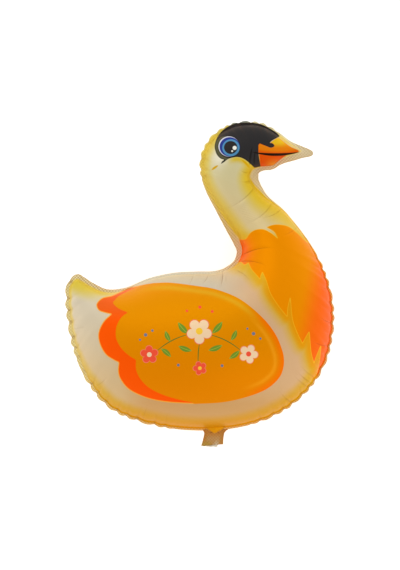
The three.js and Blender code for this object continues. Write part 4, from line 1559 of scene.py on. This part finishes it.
def stamp_wing(tree, base, place):
    """The spray of stems, leaves, blossoms and berries, each laid over what lies under it."""
    for *shape, tint in WING_LEAVES:
        base, vein = stamp_leaf(tree, base, place, *shape, tint)
        if tint == LEAF_GREEN:
            base = lay_over(tree, base, colour(*LEAF_LIGHT), vein)
    for centre, size, turn, petal, rim, heart in WING_BLOSSOMS:
        stamp = use_group(tree, blossom, Place=place, Centre=at(*centre), Radius=size * HUNDREDTH, Turn=turn)
        for output, tint in (("Petals", petal), ("Rim", rim), ("Heart", heart)):
            base = lay_over(tree, base, colour(*tint), stamp[output])
    for *centre, size, tint in WING_BERRIES:
        base = stamp_disc(tree, base, place, centre, size, 1.0, tint)
    return base


def stamp_face(tree, base, place):
    """The eye's discs, the largest first, then the strokes of brow, mask and mouth."""
    for row in EYE_DISCS:
        base = stamp_disc(tree, base, place, *row)
    for row in FACE_STROKES:
        base, _ = stamp_leaf(tree, base, place, *row)
    return base


# %% Lay all inks over the ground


def crease_shade_lines(tree):
    """Painted shade: a dark hair line along the bottom of each crease."""
    aside = calc(tree, "ABSOLUTE", attribute(tree, "crease_aside").outputs["Fac"])
    line = step_between(tree, aside, CREASE_LINE, 0.0)
    return calc(tree, "MULTIPLY", line, attribute(tree, "crease_strength").outputs["Fac"])


def all_inks(tree, place):
    """Ground, wing, breast, mask, bill and face, one over the other."""
    ink_tint = attribute(tree, "ink").outputs["Color"]
    under_tint = attribute(tree, "under_ink").outputs["Color"]
    base = attribute(tree, "ground").outputs["Color"]
    olive = use_group(
        tree, disc, Place=place, Centre=at(8.4, 91.6), Radius=3.95 * HUNDREDTH, Squash=1.0
    )["Mask"]
    mask_tint = lay_over(tree, colour(*MASK_BLACK), colour(*MASK_OLIVE), olive)
    # Each row: the ink's outline, its colour, and the colour and width of its border
    layers = [
        ("wing_under", under_tint, (236, 166, 60), 2.2),
        ("wing_over", ink_tint, (240, 134, 14), 0.0),
        ("breast", ink_tint, (238, 178, 34), 1.2),
        ("mask", mask_tint, (28, 28, 28), 1.4),
        ("bill_below", ink_tint, (218, 84, 12), 0.4),
        ("bill_above", ink_tint, (224, 100, 20), 0.5),
    ]
    for name, tint, border, width in layers:
        base = use_group(
            tree, printed_ink, Under=base, Ink=tint, Border=colour(*border),
            Distance=attribute(tree, name).outputs["Fac"], Border_Width=width,
        )["Color"]
        if name == "wing_over":
            base = stamp_wing(tree, base, place)
    return stamp_face(tree, base, place)


# %% Give the film its finish
KNURL_PITCH = 0.0072
KNURL_BROWN = (168, 122, 68)
# Painted shade of the creases: the hair line's width in millimetres and its colour
CREASE_LINE = 1.3
CREASE_SHADE_BROWN = (120, 70, 20)
KNURL_SHADE = 0.72
CREASE_SHADE = 0.36
NOTCH_SHADE = 0.14
FILM_ROUGHNESS = 0.38
FILM_RELIEF = 0.0006
VALVE_RELIEF = 0.0005
FILM_LUSTRE = (1.0, 0.55, 0.1, 1.0)


def new_material(name, roughness, metallic):
    """A material with an empty Principled shader, and its tree."""
    material = bpy.data.materials.new(name)
    material.use_nodes = True
    shader = material.node_tree.nodes["Principled BSDF"]
    shader.inputs["Roughness"].default_value = roughness
    shader.inputs["Metallic"].default_value = metallic
    return material, material.node_tree, shader


def relief_on(tree, shader, height, depth):
    """A bump of the given depth in metres."""
    bump = tree.nodes.new("ShaderNodeBump")
    bump.inputs["Distance"].default_value = depth
    connect(tree, height, bump.inputs["Height"])
    connect(tree, bump.outputs[0], shader.inputs["Normal"])


def foil_finish(tree, shader, base, place, welded, lines=0.0, notch=0.0):
    """Satin lustre that varies with the wrinkles, knurled and a shade darker where it is welded, and with
    painted shade darker again in the creases and in the notches between the lobes."""
    relief = use_group(tree, wrinkles, Place=place, Scale=26.0)
    dots = use_group(tree, knurl, Place=place, Pitch=KNURL_PITCH)["Height"]
    pressed = calc(tree, "MULTIPLY", dots, welded)
    dotted = lay_over(tree, base, colour(*KNURL_BROWN), calc(tree, "MULTIPLY", pressed, KNURL_SHADE))
    # Painted shade in the creases and in the notches between the lobes
    crease, fold = calc(tree, "MULTIPLY", lines, CREASE_SHADE), calc(tree, "MULTIPLY", notch, NOTCH_SHADE)
    shade = calc(tree, "MAXIMUM", crease, fold)
    connect(tree, lay_over(tree, dotted, colour(*CREASE_SHADE_BROWN), shade), shader.inputs["Base Color"])
    smooth = calc(tree, "MULTIPLY", relief["Lustre"], 0.08)
    rough = calc(tree, "ADD", smooth, calc(tree, "MULTIPLY", welded, 0.12))
    connect(tree, calc(tree, "ADD", rough, FILM_ROUGHNESS), shader.inputs["Roughness"])
    height = calc(tree, "ADD", calc(tree, "MULTIPLY", relief["Height"], 0.35), pressed)
    height = calc(tree, "SUBTRACT", height, lines)
    relief_on(tree, shader, height, FILM_RELIEF)
    shader.inputs["Specular IOR Level"].default_value = 0.06
    shader.inputs["Specular Tint"].default_value = FILM_LUSTRE


# %% Build the materials
printed_film, tree, shader = new_material("printed_film", 0.4, 0.2)
place = attribute(tree, "print_place").outputs["Vector"]
welded = attribute(tree, "welded").outputs["Fac"]
notch = attribute(tree, "notch").outputs["Fac"]
foil_finish(tree, shader, all_inks(tree, place), place, welded, crease_shade_lines(tree), notch)
for piece in film_pieces.values():
    piece.data.materials.append(printed_film)

tail_film, tree, shader = new_material("tail_film", 0.42, 0.2)
place = attribute(tree, "print_place").outputs["Vector"]
foil_finish(
    tree, shader, attribute(tree, "ground").outputs["Color"], place, attribute(tree, "welded").outputs["Fac"]
)
filling_tail.data.materials.append(tail_film)

milky_film, tree, shader = new_material("milky_film", 0.3, 0.0)
place = tree.nodes.new("ShaderNodeTexCoord").outputs["Object"]
relief = use_group(tree, wrinkles, Place=place, Scale=120.0)
milky = lay_over(tree, colour(236, 228, 206), colour(214, 200, 168), relief["Lustre"])
connect(tree, milky, shader.inputs["Base Color"])
relief_on(tree, shader, relief["Height"], VALVE_RELIEF)
valve_sleeve.data.materials.append(milky_film)
print("printed film:", len(printed_film.node_tree.nodes), "nodes")

# %% [markdown]
# ## Floor, light and camera
#
# The balloon lies on a pale floor in even studio light: a bright surrounding, and two wide soft lamps that
# are cooler from above the head and warmer from below the belly. The camera looks straight down from as
# far as the photographer stood, so the sides of the figure hardly show.

# %% Lay the floor
floor_mesh = bpy.data.meshes.new("floor")
FLOOR_HALF = 6.0
FLOOR_GAP = 0.0005
floor_mesh.from_pydata(
    [(-FLOOR_HALF, -FLOOR_HALF, -FLOOR_GAP), (FLOOR_HALF, -FLOOR_HALF, -FLOOR_GAP),
     (FLOOR_HALF, FLOOR_HALF, -FLOOR_GAP), (-FLOOR_HALF, FLOOR_HALF, -FLOOR_GAP)], [], [(0, 1, 2, 3)],
)
floor = bpy.data.objects.new("floor", floor_mesh)
bpy.context.scene.collection.objects.link(floor)
pale_floor, tree, shader = new_material("pale_floor", 0.9, 0.0)
shader.inputs["Base Color"].default_value = (0.9, 0.9, 0.9, 1)
shader.inputs["Emission Color"].default_value = (1, 1, 1, 1)
shader.inputs["Emission Strength"].default_value = 0.55
floor.data.materials.append(pale_floor)

print(f"floor {2 * FLOOR_HALF:.0f} m wide")

# %% Light the stage
world = bpy.data.worlds.new("studio")
world.use_nodes = True
sky = world.node_tree
SKY_LOW, SKY_HIGH = 1.22, 0.64
upward = parts_of(sky, sky.nodes.new("ShaderNodeTexCoord").outputs["Generated"])["Z"]
fall = calc(sky, "MULTIPLY", step_between(sky, upward, 0.0, 1.0), SKY_HIGH - SKY_LOW)
connect(sky, calc(sky, "ADD", fall, SKY_LOW), sky.nodes["Background"].inputs["Strength"])
sky.nodes["Background"].inputs["Color"].default_value = (1.0, 0.99, 0.975, 1)
bpy.context.scene.world = world
bpy.context.scene.view_settings.view_transform = "Standard"


def soft_lamp(name, place, size, watts, tint):
    """A square lamp that shines at the middle of the balloon."""
    lamp = bpy.data.lights.new(name, "AREA")
    lamp.size = size
    lamp.energy = watts
    lamp.color = tint
    stand = bpy.data.objects.new(name, lamp)
    bpy.context.scene.collection.objects.link(stand)
    stand.location = place
    aim = np.array([0, 0, SEAM_PLANE * MM]) - place
    tilt, turn = math.acos(-aim[2] / np.linalg.norm(aim)), math.atan2(aim[1], aim[0]) - math.pi / 2
    stand.rotation_euler = (tilt, 0, turn)


soft_lamp("head_lamp", (-0.9, 2.1, 2.6), 2.2, 17, (1.0, 1.0, 1.0))
soft_lamp("belly_lamp", (1.2, -2.0, 2.4), 2.0, 9, (1.0, 0.95, 0.86))
print("lamps:", *(lamp.name for lamp in bpy.data.lights))

# %% Place the camera
LENS = 150
SENSOR = 36
camera_data = bpy.data.cameras.new("camera")
camera_data.lens = LENS
camera_data.sensor_width = SENSOR
camera_data.clip_end = 50
camera = bpy.data.objects.new("camera", camera_data)
bpy.context.scene.collection.objects.link(camera)
seam_view = placed(np.array([[[VIEW_MIDDLE[0], VIEW_MIDDLE[1], 0.0]]]))[0, 0]
camera.location = (seam_view[0], seam_view[1], seam_view[2] + VIEW_DISTANCE * MM)
bpy.context.scene.camera = camera
print("camera over", np.round(camera.location, 4).tolist())
